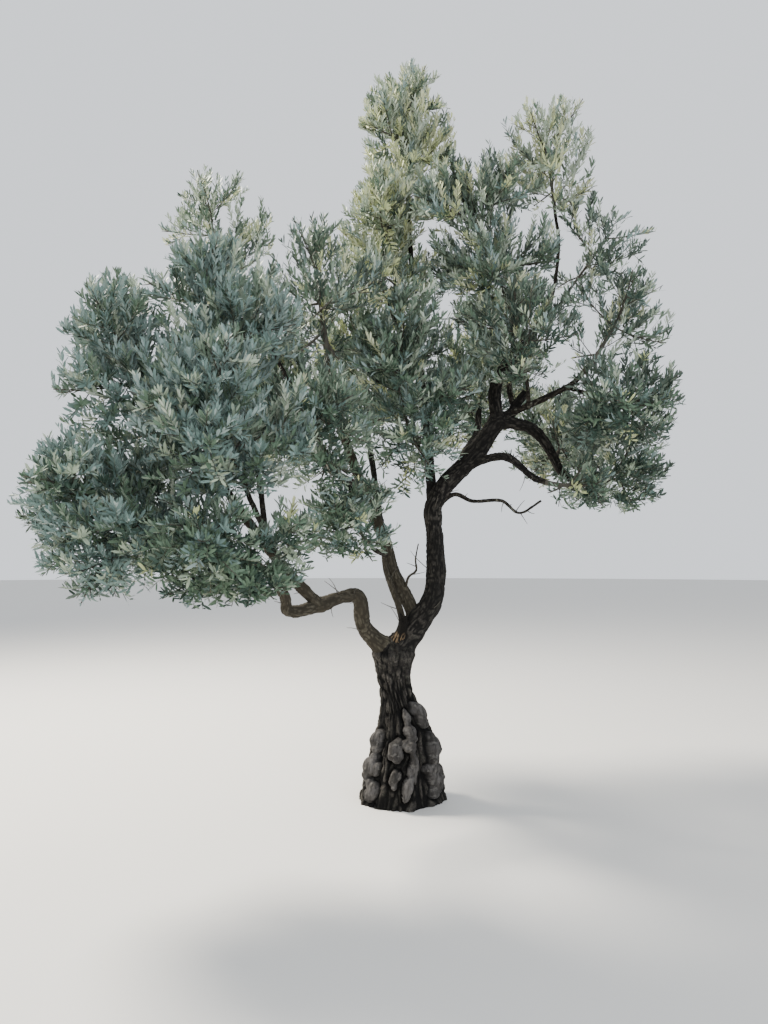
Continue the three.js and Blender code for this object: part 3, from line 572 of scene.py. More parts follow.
def limb_line(name):
    """The limb's middle line: the smooth line from a point of its parent's line through its knots. If the
    last knot is outside its mass, it goes on towards the mass's middle, to a share of its reach from
    there."""
    limb = LIMBS[name]
    if limb["parent"] == "trunk":
        foot_height = limb["at"] * TRUNK_TOP
        start = np.array([float(trunk_middle(np.array(foot_height))), 0, foot_height])
    else:
        start = point_on(limb_lines[limb["parent"]], limb["at"])
    knots = [start] + [np.array(knot, dtype=float) for knot in limb["knots"]]
    if "mass" in limb:
        mass = MASSES[limb["mass"]]
        middle = np.array(mass["middle"])
        back = unit(knots[-1] - middle)
        edge = radius_towards(mass["half"], back)
        if np.linalg.norm(knots[-1] - middle) > edge:
            knots.append(middle + back * edge * LIMB_ENTRY)
    return spline_line(knots)


def limb_radius(name, along, length):
    """The limb's radius: an even taper times one plus a sine for the knuckles, plus a collar that dies
    away from its foot as an exponential."""
    foot, tip = LIMBS[name]["radii"]
    knuckles = KNUCKLES["size"] * np.sin(FULL_TURN * along / KNUCKLES["every"] + foot * KNUCKLES["shift"])
    collar = 0
    if not LIMBS[name].get("elbow"):
        collar = foot * COLLAR["size"] * np.exp(-along / (COLLAR["fade"] * foot))
    return (foot + (tip - foot) * along / length) * (1 + knuckles) + collar


limb_lines = {}
for limb_name in LIMBS:
    limb_lines[limb_name] = limb_line(limb_name)


def spread_evenly(line, radii, step):
    """The line, its radii and its lengths again at even steps of about the given length."""
    along = lengths_along(line)
    even = np.linspace(0, along[-1], max(8, round(along[-1] / step)))
    return points_at(line, along, even), np.interp(even, along, radii), even


def softened(values, width):
    """Each value becomes the mean of those round it, weighted by a bell of the given width in steps. The
    ends are mirrored through their last value, so that they stay where they are."""
    reach_out = int(3 * width)
    bell = np.exp(-0.5 * (np.arange(-reach_out, reach_out + 1) / width) ** 2)
    flat = values.reshape(len(values), -1)
    before = 2 * flat[:1] - flat[reach_out:0:-1]
    after = 2 * flat[-1:] - flat[-2:-reach_out - 2:-1]
    padded = np.concatenate([before, flat, after])
    columns = [np.convolve(padded[:, c], bell / bell.sum(), mode="valid") for c in range(flat.shape[1])]
    return np.stack(columns, axis=1).reshape(values.shape)


def run_of_limbs(names):
    """The line and radii of limbs that go on from one another, each joined where it leaves the one
    before."""
    points, radii = [], []
    for name, after in zip(names, names[1:] + [None]):
        line = limb_lines[name]
        along = lengths_along(line)
        kept = along <= along[-1] * (LIMBS[after]["at"] if after else 1)
        if points:
            kept[0] = False
        points.append(line[kept])
        radii.append(limb_radius(name, along, along[-1])[kept])
    return np.concatenate(points), np.concatenate(radii)


skins = {}
in_runs = [name for names in CARRIED_ON for name in names]
for names in CARRIED_ON + [[name] for name in LIMBS if name not in in_runs]:
    line, line_radii = run_of_limbs(names)
    step = RING_STEP["share"] * float(np.mean(line_radii))
    step = min(RING_STEP["most"], max(RING_STEP["least"], step))
    line, line_radii, along = spread_evenly(line, line_radii, step)
    if len(names) > 1:
        line = softened(line, RUN_SOFTENED["line"] / step)
        line_radii = softened(line_radii, RUN_SOFTENED["radii"] / step)
    skins[names[0]] = dict(names=names, line=line, radii=line_radii, along=along, step=step)


def round_from(side, other, turn):
    """The way at a turn from one way towards another: the first times the turn's cosine, plus the second
    times its sine."""
    return side * np.cos(turn) + other * np.sin(turn)


def rod_grid(line, radii, turns):
    """Rings of points round a line and the way out at each: the line plus the radius times the way at
    each turn from one side to another. The sides are square to the line, and the first also to the
    direction that it heads towards least, so that the rings don't twist."""
    heading = unit(np.gradient(line, axis=0))
    across = np.linalg.svd(heading, full_matrices=True)[2][-1]
    side = unit(across - heading * (heading @ across)[:, None])
    other = np.cross(heading, side)
    out = round_from(side[:, None], other[:, None], turns_round(turns)[None, :, None])
    return line[:, None] + out * radii[..., None], out


def depth_beside(points, line, radii):
    """How far points lie outside a limb: the least distance to its line, less its radius there. Points
    that are nowhere near it count as far away."""
    flat = points.reshape(-1, 3).astype(np.float32)
    coarse, around = line[::LINE_SKIP].astype(np.float32), radii[::LINE_SKIP].astype(np.float32)
    apart = np.full(len(flat), FAR_AWAY, dtype=np.float32)
    close = np.all((flat > coarse.min(axis=0) - NEARBY) & (flat < coarse.max(axis=0) + NEARBY), axis=1)
    near = flat[close]
    squares = (near**2).sum(axis=1)[:, None] + (coarse**2).sum(axis=1)[None] - 2 * near @ coarse.T
    apart[close] = (np.sqrt(np.maximum(squares, 0)) - around[None]).min(axis=1)
    return apart.reshape(points.shape[:-1])


def webbed(grid, outward, own_radius, others):
    """Pushes a skin out near the limbs that meet it, by a share of the smaller radius that dies away with
    the distance from them as an exponential, so that wood flows from one to the other with no sharp
    corner."""
    push = np.zeros(grid.shape[:2])
    for other in others:
        away = np.maximum(depth_beside(grid, other["line"], other["radii"]), 0)
        width = WEB_WIDTH * min(float(np.mean(own_radius)), float(other["radii"][0]))
        push = np.maximum(push, width * np.exp(-away / width))
    return grid + outward * push[..., None]


# The trunk's top rings, where it closes over the fork, push no limb out
CLOSING_RINGS = 24
trunk_line = np.stack([trunk_middle(height[:, 0]), 0 * height[:, 0], height[:, 0]], axis=1)
trunk_radii = bare_radius.mean(axis=1)
trunk_skin = dict(names=["trunk"], line=trunk_line[:-CLOSING_RINGS], radii=trunk_radii[:-CLOSING_RINGS])
all_skins = [trunk_skin] + list(skins.values())


def meeting(skin):
    """The skins that leave this one and the one that it leaves, found by the names of their parents."""
    def parents_of(names):
        """The names of the limbs' parents."""
        return {LIMBS[name]["parent"] for name in names if name != "trunk"}

    own, own_parents = set(skin["names"]), parents_of(skin["names"])
    return [
        other for other in all_skins
        if other is not skin and (parents_of(other["names"]) & own or own_parents & set(other["names"]))
    ]


# Bark: old wood is cracked into long dark-edged plates, greyed by the air in patches and spotted with
# lichen. The left and middle boughs are browner, young wood is smoother, and a stump in the fork has
# rotted to brown. The trunk, its burrs and the old limbs are coloured far darker than their grey bark is,
# as painted shade. They share one finish, each with its own colours.
GRAIN = dict(detail=6, stretch=(1, 1, 0.22), shown=(0.32, 0.68), dark=(0.25, 0.60))
PATCHES = dict(scale=9, detail=3, shown=(0.42, 0.62))
SPOTS = dict(scale=38, detail=4, shown=(0.56, 0.66))
PLATE_SHOWN = (0.22, 0.95)


def mixed(tree, share, first, second):
    """The first colour times one less the share, plus the second times the share. A colour is one that is
    given or another node's output."""
    mix = tree.nodes.new("ShaderNodeMix")
    mix.data_type = "RGBA"
    tree.links.new(share, mix.inputs["Factor"])
    for socket, colour in (("A", first), ("B", second)):
        if isinstance(colour, tuple):
            mix.inputs[socket].default_value = (*colour, 1)
        else:
            tree.links.new(colour, mix.inputs[socket])
    return mix.outputs["Result"]


def bark_finish_group():
    """Colour and height of bark. The colour is mixed from crack to plate by the relief times the grain, a
    noise drawn out along the limb. The plate is mixed with its weathered colour by patches, and lichen
    lies on it in spots, both where a noise passes a level. The height is the grain."""
    group = bpy.data.node_groups.new("bark_finish", "ShaderNodeTree")
    for name, kind in (
        ("Along the limb", "NodeSocketVector"), ("Relief", "NodeSocketFloat"), ("Crack", "NodeSocketColor"),
        ("Plate", "NodeSocketColor"), ("Weathered", "NodeSocketColor"), ("Lichen", "NodeSocketColor"),
        ("Lichen share", "NodeSocketFloat"), ("Grain scale", "NodeSocketFloat"),
    ):
        group.interface.new_socket(name=name, in_out="INPUT", socket_type=kind)
    group.interface.new_socket(name="Colour", in_out="OUTPUT", socket_type="NodeSocketColor")
    group.interface.new_socket(name="Height", in_out="OUTPUT", socket_type="NodeSocketFloat")
    nodes, links = group.nodes, group.links
    given, result = nodes.new("NodeGroupInput"), nodes.new("NodeGroupOutput")

    def noise(scale, detail, stretch=(1, 1, 1)):
        """Noise on the place along the limb times the stretch; with no scale it takes the grain's."""
        drawn = nodes.new("ShaderNodeMapping")
        drawn.inputs["Scale"].default_value = stretch
        links.new(given.outputs["Along the limb"], drawn.inputs["Vector"])
        made = nodes.new("ShaderNodeTexNoise")
        made.inputs["Detail"].default_value = detail
        if scale is None:
            links.new(given.outputs["Grain scale"], made.inputs["Scale"])
        else:
            made.inputs["Scale"].default_value = scale
        links.new(drawn.outputs["Vector"], made.inputs["Vector"])
        return made.outputs["Fac"]

    def ranged(value, low, high):
        """0 at low and 1 at high, and a straight line between them."""
        made = nodes.new("ShaderNodeMapRange")
        made.inputs["From Min"].default_value = low
        made.inputs["From Max"].default_value = high
        links.new(value, made.inputs["Value"])
        return made.outputs["Result"]

    def times(first, second):
        """The first value times the second."""
        made = nodes.new("ShaderNodeMath")
        made.operation = "MULTIPLY"
        links.new(first, made.inputs[0])
        links.new(second, made.inputs[1])
        return made.outputs["Value"]

    grain = noise(None, GRAIN["detail"], GRAIN["stretch"])
    patches = ranged(noise(PATCHES["scale"], PATCHES["detail"]), *PATCHES["shown"])
    spots = ranged(noise(SPOTS["scale"], SPOTS["detail"]), *SPOTS["shown"])
    plate = mixed(group, patches, given.outputs["Plate"], given.outputs["Weathered"])
    plate_share = times(ranged(given.outputs["Relief"], *PLATE_SHOWN), ranged(grain, *GRAIN["dark"]))
    colour = mixed(group, plate_share, given.outputs["Crack"], plate)
    lichened = times(times(spots, given.outputs["Relief"]), given.outputs["Lichen share"])
    colour = mixed(group, lichened, colour, given.outputs["Lichen"])
    links.new(colour, result.inputs["Colour"])
    links.new(ranged(grain, *GRAIN["shown"]), result.inputs["Height"])
    return group


bark_finish = bark_finish_group()


# Each bark: the colours of its cracks, plates, weathered plates and lichen, linear. Those of the old
# bark, of its burrs and of the old limbs' dark bark are set far below the bark's own grey, as painted
# shade on the trunk and old limbs
BURR_FINISH = dict(lichen_share=0.5, grain_scale=60, colours=(
    (0.012, 0.011, 0.010), (0.052, 0.048, 0.045), (0.112, 0.105, 0.101), (0.160, 0.152, 0.140)))
BARKS = {
    "bark_old": dict(lichen_share=0.22, grain_scale=260, bump=0.003, burr=BURR_FINISH, colours=(
        (0.0018, 0.0016, 0.0014), (0.0200, 0.0178, 0.0157), (0.080, 0.072, 0.063), (0.095, 0.095, 0.076))),
    "bark_dark": dict(lichen_share=0.22, grain_scale=230, bump=0.003, colours=(
        (0.0045, 0.0040, 0.0035), (0.022, 0.0195, 0.0168), (0.056, 0.050, 0.043), (0.085, 0.084, 0.070))),
    "bark_brown": dict(lichen_share=0.30, grain_scale=230, bump=0.002, colours=(
        (0.026, 0.022, 0.0155), (0.050, 0.0435, 0.0310), (0.080, 0.071, 0.052), (0.098, 0.095, 0.073))),
    "bark_young": dict(lichen_share=0.4, grain_scale=330, bump=0.0015, colours=(
        (0.008, 0.0065, 0.005), (0.040, 0.034, 0.027), (0.075, 0.067, 0.054), (0.30, 0.31, 0.25))),
    "wood_rotten": dict(lichen_share=0.3, grain_scale=200, bump=0.004, colours=(
        (0.005, 0.004, 0.003), (0.190, 0.130, 0.075), (0.300, 0.215, 0.130), (0.34, 0.27, 0.18))),
}
BURR_RELIEF = 0.8
BARK_ROUGHNESS = 0.9
BARK_GLOSS = 0.2
BUMP_STRENGTH = 0.8


def bark_material(name, lichen_share, grain_scale, bump, colours, burr=None):
    """Bark in its own colours, by the shared finish on the skin's straight and relief attributes. With a
    burr's finish, the colour is mixed to that by the skin's burr attribute."""
    material, tree, shader = new_material(name, BARK_ROUGHNESS)
    shader.inputs["Specular IOR Level"].default_value = BARK_GLOSS
    nodes, links = tree.nodes, tree.links

    def attribute(label, output):
        """An attribute of the skin, by its name."""
        made = nodes.new("ShaderNodeAttribute")
        made.attribute_name = label
        return made.outputs[output]

    def finished(colours, lichen_share, grain_scale):
        """The shared finish with these values, on the straightened place along the limb."""
        made = nodes.new("ShaderNodeGroup")
        made.node_tree = bark_finish
        links.new(attribute("straight", "Vector"), made.inputs["Along the limb"])
        for socket, colour in zip(("Crack", "Plate", "Weathered", "Lichen"), colours):
            made.inputs[socket].default_value = (*colour, 1)
        made.inputs["Lichen share"].default_value = lichen_share
        made.inputs["Grain scale"].default_value = grain_scale
        return made

    finish = finished(colours, lichen_share, grain_scale)
    links.new(attribute("relief", "Fac"), finish.inputs["Relief"])
    colour = finish.outputs["Colour"]
    if burr:
        skin = finished(**burr)
        skin.inputs["Relief"].default_value = BURR_RELIEF
        colour = mixed(tree, attribute("burr", "Fac"), colour, skin.outputs["Colour"])
    links.new(colour, shader.inputs["Base Color"])
    relief_bump = nodes.new("ShaderNodeBump")
    relief_bump.inputs["Strength"].default_value = BUMP_STRENGTH
    relief_bump.inputs["Distance"].default_value = bump
    links.new(finish.outputs["Height"], relief_bump.inputs["Height"])
    links.new(relief_bump.outputs["Normal"], shader.inputs["Normal"])
    return material


barks = {name: bark_material(name, **bark) for name, bark in BARKS.items()}

trunk_grid = webbed(trunk_grid, outward_of(trunk_grid), bare_radius, meeting(trunk_skin))
trunk_grid[..., 2] = np.maximum(trunk_grid[..., 2], height)
# The relief carries the bark's plates and the painted shade round the burrs
trunk_masks = dict(straight=trunk_straight, relief=trunk_plates, burr=burr_cover)
trunk_bark = placed("trunk_bark", closed_skin("trunk_bark", trunk_grid, trunk_masks), barks["bark_old"])
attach(trunk_bark, "root")
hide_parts("trunk")

# Limb skins: the bark's plates get finer and shallower with the limb, old boughs carry pruning knots, and
# the sawn stubs end in a flat cut. Each limb is let into its parent by a collar that the parent's bark
# swells up to meet.
UP = np.array([0.0, 0.0, 1.0])
OLD_RADIUS = 0.028
PLATE_WIDTH = 0.0100
PLATE_LENGTH = dict(size=0.036, thin=0.5, thick=10)
FEWEST_PLATES = 7
SKIN_TURNS = dict(step=0.85, fewest=18, most=84)
SWELL = dict(height=0.07, length=3, count=4, seed=5)
LIMB_BARK = dict(old=0.085, young=0.04, least=0.0008, level=0.75)
KNOTS = dict(every=0.20, width=(0.35, 0.6), height=(0.10, 0.22), within=(0.05, 0.95))
SAWN = dict(names=("stub_upper", "stub_side"), size=0.12, length=0.008)
# The rotten stump narrows over these shares of its length, loses its bark, and ends in jags
ROTTEN = dict(name="stub_crotch", size=0.30, narrows=(0.60, 0.85), bare=(0.55, 0.75), crumb=0.02, crumbs=9,
              crumb_seed=5, jag=0.030, jag_sunk=0.005, jags=11, jag_seed=6)
# The first limb's seed, and how far the next one's is from it
LIMB_SEED, LIMB_SEED_STEP = 40, 7
OWN_BARKS = dict(bough_left="bark_brown", bough_left_high="bark_brown", bough_middle="bark_brown",
                 stem_beside="bark_brown", stem_twig="bark_brown", stub_crotch="wood_rotten")


def pruning_knots(grid_turn, along, radii, seed):
    """Swellings where side limbs were once cut off, at seeded places: the sum of bells of the distance
    from each place over the skin."""
    random = np.random.default_rng(seed)
    rise = np.zeros(grid_turn.shape)
    for _ in range(round(along[-1] / KNOTS["every"])):
        place, knot_turn = random.uniform(*KNOTS["within"]) * along[-1], random.uniform(0, FULL_TURN)
        radius_here = np.interp(place, along, radii)
        width = radius_here * random.uniform(*KNOTS["width"])
        tall = radius_here * random.uniform(*KNOTS["height"])
        round_off = radius_here * (np.mod(grid_turn - knot_turn + math.pi, FULL_TURN) - math.pi)
        rise += tall * np.exp(-(round_off**2 + (along[:, None] - place) ** 2) / (2 * width**2))
    return rise


def limb_skin(skin, seed):
    """Rings round the limb's line. The radius is the limb's plus slow swellings and its knots, the skin
    is pushed out to meet its neighbours, and the bark adds its depth times its height over its middle
    level."""
    radii, along = skin["radii"], skin["along"]
    mean_radius = float(np.mean(radii))
    old = float(radii[0]) > OLD_RADIUS
    turns = round(FULL_TURN * mean_radius / (SKIN_TURNS["step"] * skin["step"]))
    turns = int(np.clip(turns, SKIN_TURNS["fewest"], SKIN_TURNS["most"]))
    turn_share = np.broadcast_to(np.linspace(0, 1, turns, endpoint=False), (len(radii), turns))
    along_grid = np.broadcast_to(along[:, None], turn_share.shape)
    cells = max(FEWEST_PLATES, round(FULL_TURN * mean_radius / PLATE_WIDTH))
    plate_length = PLATE_LENGTH["size"] * (PLATE_LENGTH["thin"] + PLATE_LENGTH["thick"] * mean_radius)
    plates = bark_plates(turn_share, along_grid, cells, plate_length, seed)
    swell_rows = along_grid / (SWELL["length"] * mean_radius)
    swell = lattice_noise(turn_share, swell_rows, SWELL["count"], seed + SWELL["seed"])
    full = radii[:, None] + swell * SWELL["height"] * mean_radius
    if old:
        full = full + pruning_knots(turn_share * FULL_TURN, along, radii, seed)
    if skin["names"][-1] in SAWN["names"]:
        full = full * (1 - SAWN["size"] * smooth_between(along_grid, along[-1] - SAWN["length"], along[-1]))
    rotten = skin["names"][0] == ROTTEN["name"]
    if rotten:
        length_share = along_grid / along[-1]
        top_share = smooth_between(length_share, *ROTTEN["narrows"])
        plates = plates * (1 - smooth_between(length_share, *ROTTEN["bare"]))
        crumb_rows = along_grid / ROTTEN["crumb"]
        crumbs = lattice_noise(turn_share, crumb_rows, ROTTEN["crumbs"], ROTTEN["crumb_seed"])
        full = full * (1 - ROTTEN["size"] * top_share * (0.5 + 0.5 * crumbs))
    grid, out = rod_grid(skin["line"], full, turns)
    if rotten:
        jag = lattice_noise(turn_share, 0 * along_grid, ROTTEN["jags"], ROTTEN["jag_seed"])
        grid = grid + UP * (top_share * (ROTTEN["jag"] * jag - ROTTEN["jag_sunk"]))[..., None]
    grid = webbed(grid, out, radii, meeting(skin))
    depth = LIMB_BARK["old" if old else "young"] * mean_radius + LIMB_BARK["least"]
    grid = grid + out * (depth * (plates - LIMB_BARK["level"]))[..., None]
    straight = round_upright(full, turn_share * FULL_TURN, along_grid)
    return closed_skin(skin["names"][0] + "_bark", grid, dict(straight=straight, relief=plates)), old


for number, skin in enumerate(skins.values()):
    skin_mesh, is_old = limb_skin(skin, LIMB_SEED + LIMB_SEED_STEP * number)
    bark_name = OWN_BARKS.get(skin["names"][0], "bark_dark" if is_old else "bark_young")
    limb_bark = placed(skin["names"][0] + "_bark", skin_mesh, barks[bark_name])
    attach(limb_bark, "root")
    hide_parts(*[LIMBS[name].get("beside", name) for name in skin["names"]])

# Twigs: a stem carries each limb on into its mass, twigs leave the stem all round, and side twigs and
# leafy shoots leave those. Each is as long as its space lets it be, and one that would touch a limb is
# left out. Bare dead spurs stand on the limbs.
STEM = dict(bend=0.3, past=0.3, tip=0.008, inside=0.012, points=25, sides=8)
TWIG = dict(per_square=40, fewest=6, most=10, foot=0.6, tip=0.0032, jitter=0.28, middle=0.55, swing=0.5,
            first=0.22, last=0.97, bow=0.05, sag=0.8, segments=7, sides=6)
SIDE_TWIG = dict(spacing=0.040, first=0.12, angle=(38, 66), longest=0.50, ragged=0.13, foot=0.0034,
                 tip=0.0016, segments=4, sides=4)
SHOOT = dict(spacing=0.026, first=0.08, angle=(28, 60), longest=0.27, ragged=0.24, foot=0.0017, tip=0.0008,
             segments=3, sides=3)
SPUR = dict(every=0.13, length=(0.04, 0.19), shorter=(0.5, 1), foot=0.0034, tip=0.0012, sunk=0.7,
            within=(0.10, 0.95), forward=0.5, rise=0.35, scatter=0.15, bow=0.08, segments=4, sides=5)
# All offshoots: how their angle and length fall off along the parent, what share of their lift and length
# each takes, how they scatter and bow, which side of a mass is ragged, and the shortest
OFFSHOOT = dict(angle=(1.1, 0.5), length=(1.1, 0.45), lifted=(0.3, 1.0), lengths=(0.45, 1.0), scatter=0.06,
                bow=(0.01, 0.07), bow_scatter=0.5, ragged_side=(-0.4, 0.5), shortest=0.05, checked_at=0.6)
SIDE_TWIG_LIFT = 0.25
SPUR_STEP = 0.02
TO_EDGE = 0.985
SPACE_GAP = 0.003
WOOD_GAP = 0.004
WOOD_SKIP = 6
GOLDEN_ANGLE = math.pi * (3 - math.sqrt(5))
TWIG_COLOURS = ((0.030, 0.026, 0.020), (0.085, 0.078, 0.062))
SHOOT_COLOURS = ((0.085, 0.085, 0.057), (0.150, 0.165, 0.105))
THIN_BARK = dict(roughness=0.8, noise_scale=30)
SPUR_SEED = 61
# Added to each mass's number
MASS_SEED = 100
BOW_SEED = 900
# The stream that shakes the first twigs: a number's start, how it goes on, and where it wraps round
STREAM = dict(start=(7919, 12345), next=(1664525, 1013904223), wrap=2**32)


def seeded(seed):
    """A stream of numbers from 0 to 1: each state is the last one times a constant plus another, wrapped
    round."""
    state = (seed * STREAM["start"][0] + STREAM["start"][1]) % STREAM["wrap"]
    while True:
        state = (state * STREAM["next"][0] + STREAM["next"][1]) % STREAM["wrap"]
        yield state / STREAM["wrap"]


def space_of(name):
    """The ellipsoid of a mass, cut by a plane towards each neighbour: the distance between their middles
    is shared out by how far each reaches. The way out of the crown is the one from the mean of all
    middles."""
    mass = MASSES[name]
    middle = np.array(mass["middle"])
    others = [other for key, other in MASSES.items() if key != name]
    towards = np.array([other["middle"] for other in others]) - middle
    apart = np.linalg.norm(towards, axis=1)
    normals = towards / apart[:, None]
    mine = radius_towards(mass["half"], normals)
    theirs = np.array([radius_towards(other["half"], n) for other, n in zip(others, normals)])
    edges = apart * mine / (mine + theirs) - SPACE_GAP
    outward = unit(middle - np.mean([other["middle"] for other in MASSES.values()], axis=0))
    return dict(middle=middle, half=np.array(mass["half"]), normals=normals, edges=edges, outward=outward)


# A ray that closes on a plane more slowly than this never meets it, and one steeper than this is upright
FLAT = 1e-6
UPRIGHT = 0.9


def reach(space, feet, directions, level=1.0):
    """How far rays from points in a space go before they leave it: the far root of the quadratic of the
    ellipsoid, drawn in to a level of its size, or the nearest cutting plane."""
    p = (feet - space["middle"]) / space["half"]
    d = directions / space["half"]
    a, b, c = (d * d).sum(-1), (d * p).sum(-1), (p * p).sum(-1) - level**2
    far = (-b + np.sqrt(np.maximum(0, b * b - a * c))) / a
    closing = directions @ space["normals"].T
    room = space["edges"] - (feet - space["middle"]) @ space["normals"].T
    far_planes = np.where(closing > FLAT, room / np.maximum(closing, FLAT), FAR_AWAY)
    return np.maximum(np.minimum(far, far_planes.min(axis=-1)), 0) * TO_EDGE


def square_to(directions):
    """Two unit vectors square to each direction and to each other: cross products with up, or with +X
    where the direction is near upright."""
    helper = np.where(np.abs(directions[..., 2:]) < UPRIGHT, UP, np.array([1.0, 0.0, 0.0]))
    side = unit(np.cross(helper, directions))
    return side, np.cross(directions, side)


def spaced_along(lengths, spacing, first):
    """Even places along each twig from a share of its length to its tip, in the middle of equal steps. It
    returns each place's twig number, share of the length and rank."""
    counts = np.maximum(1, np.round(lengths * (1 - first) / spacing)).astype(int)
    owner = np.repeat(np.arange(len(lengths)), counts)
    rank = np.arange(len(owner)) - np.repeat(np.cumsum(counts) - counts, counts)
    return owner, first + (1 - first) * (rank + 0.5) / counts[owner], rank


def along_twigs(twigs, owner, share):
    """Points at shares t of twigs: straight from foot to tip, plus four t times one less t of a bow
    square to that line."""
    t = share[:, None]
    straight = twigs["foot"][owner] + twigs["way"][owner] * (twigs["length"][owner, None] * t)
    return straight + twigs["bow"][owner] * (4 * t * (1 - t))


def heading_along(twigs, owner, share):
    """The direction of twigs at shares of their length, by the slope of the same formula."""
    straight = twigs["way"][owner] * twigs["length"][owner, None]
    return unit(straight + twigs["bow"][owner] * (4 - 8 * share[:, None]))


wood_points = np.concatenate([skin["line"][::WOOD_SKIP] for skin in skins.values()])
wood_radii = np.concatenate([skin["radii"][::WOOD_SKIP] for skin in skins.values()])


def clear_of_wood(points):
    """True for each point whose distance from every limb's line is over the limb's radius and a gap."""
    away = points[:, None].astype(np.float32) - wood_points[None].astype(np.float32)
    return np.all(np.linalg.norm(away, axis=-1) > wood_radii + WOOD_GAP, axis=1)


def clear_along(foot, way, length):
    """True for each twig whose tip and whose point at a share of its length are clear of wood."""
    halfway = length * OFFSHOOT["checked_at"]
    return clear_of_wood(foot + way * length[:, None]) & clear_of_wood(foot + way * halfway[:, None])


def some_of(twigs, chosen):
    """The twigs that are chosen."""
    return {key: value[chosen] for key, value in twigs.items()}


def offshoots(parents, rule, lift, space, random):
    """Side twigs at even places along their parents, turned round them by the golden angle. Each one's
    way is the parent's times the cosine of a seeded angle, plus the way out times its sine, plus a lift.
    It is as long as the rule and its space let it be, less a ragged share on the crown's outer side."""
    owner, share, rank = spaced_along(parents["length"], rule["spacing"], rule["first"])
    heading = heading_along(parents, owner, share)
    side, other = square_to(heading)
    phase = random.uniform(0, FULL_TURN, len(parents["length"]))[owner]
    turn = (phase + rank * GOLDEN_ANGLE)[:, None]
    angle = np.radians(random.uniform(*rule["angle"], len(owner)))[:, None]
    angle = angle * (OFFSHOOT["angle"][0] - OFFSHOOT["angle"][1] * share[:, None])
    way = round_from(heading, round_from(side, other, turn), angle)
    way = way + UP * lift * random.uniform(*OFFSHOOT["lifted"], (len(owner), 1))
    way = unit(way + random.normal(0, OFFSHOOT["scatter"], way.shape))
    foot = along_twigs(parents, owner, share)
    longest = rule["longest"] * random.uniform(*OFFSHOOT["lengths"], len(owner))
    longest = longest * (OFFSHOOT["length"][0] - OFFSHOOT["length"][1] * share)
    outer = smooth_between(unit(foot - space["middle"]) @ space["outward"], *OFFSHOOT["ragged_side"])
    level = 1 - rule["ragged"] * outer * (1 - random.uniform(0, 1, len(owner)) ** 2)
    length = np.minimum(longest, reach(space, foot, way, level))
    sag = -(UP - way * way[:, 2:])
    bow = unit(sag + random.normal(0, OFFSHOOT["bow_scatter"], way.shape)) * length[:, None]
    bow = bow * random.uniform(*OFFSHOOT["bow"], (len(owner), 1))
    kept = (length > OFFSHOOT["shortest"]) & clear_along(foot, way, length)
    return some_of(dict(foot=foot, way=way, length=length, bow=bow), kept)


def joined_twigs(parts):
    """Several sets of twigs as one."""
    return {key: np.concatenate([part[key] for part in parts]) for key in parts[0]}


def grow_stem(name, limb_name):
    """The curve that carries a limb on to just past the middle of its mass, and its radii: start, bend
    and end weighted by the squares of one less t and of t, and by twice their product."""
    space = space_of(name)
    line = limb_lines[limb_name]
    heading = unit(line[-1] - line[-3])
    start = line[-1] - heading * STEM["inside"]
    end = space["middle"] + heading * STEM["past"] * radius_towards(MASSES[name]["half"], heading)
    bend = start + heading * np.linalg.norm(end - start) * STEM["bend"]
    t = np.linspace(0, 1, STEM["points"])[:, None]
    curve = start * (1 - t) ** 2 + 2 * bend * t * (1 - t) + end * t**2
    radii = np.linspace(LIMBS[limb_name]["radii"][1], STEM["tip"], STEM["points"])
    return space, heading, curve, radii


def first_twigs(name, seed, space, heading, curve, radii):
    """Twigs off the stem, in even steps of rise and turned by the golden angle, each shaken a little. A
    level one leaves past half way, and one leaves further on by how far it goes the stem's way."""
    a, b, c = MASSES[name]["half"]
    section = (a * b + b * c + a * c) / 3
    count = int(np.clip(round(section * TWIG["per_square"]), TWIG["fewest"], TWIG["most"]))
    stream = seeded(seed)
    ways = []
    for k in range(count):
        rise = 1 - 2 * (k + 0.5) / count
        turn = k * GOLDEN_ANGLE + seed
        level = math.sqrt(1 - rise * rise)
        shake = [(next(stream) - 0.5) * TWIG["jitter"] for _ in range(3)]
        next(stream)
        ways.append(np.array([level * math.cos(turn), level * math.sin(turn), rise]) + shake)
    ways = unit(np.array(ways))
    shares = np.clip(TWIG["middle"] + TWIG["swing"] * (ways @ heading), TWIG["first"], TWIG["last"])
    feet = np.array([point_on(curve, share) for share in shares])
    lengths = reach(space, feet, ways)
    random = np.random.default_rng(BOW_SEED + seed)
    bows = unit(random.normal(0, 1, ways.shape) - UP * TWIG["sag"])
    bows = unit(bows - ways * (bows * ways).sum(-1, keepdims=True)) * lengths[:, None] * TWIG["bow"]
    foot_radii = np.interp(shares, np.linspace(0, 1, len(radii)), radii) * TWIG["foot"]
    return dict(foot=feet, way=ways, length=lengths, bow=bows), foot_radii


def rods(lines, radii, sides):
    """Rods round many lines at once, closed by a flat face at each end: the line plus the radius times
    the way at each turn from one side to another. Lines is twig by point by axis, and radii twig by
    point. It returns the vertices, the squares between rings and the end faces."""
    count, points = lines.shape[:2]
    side, other = square_to(unit(np.gradient(lines, axis=1)))
    out = round_from(side[:, :, None], other[:, :, None], turns_round(sides)[:, None])
    vertices = (lines[:, :, None] + out * radii[:, :, None, None]).reshape(-1, 3)
    point = np.arange(count * points * sides).reshape(count, points, sides)
    return vertices, squares_between(point), np.concatenate([point[:, 0, ::-1], point[:, -1]])


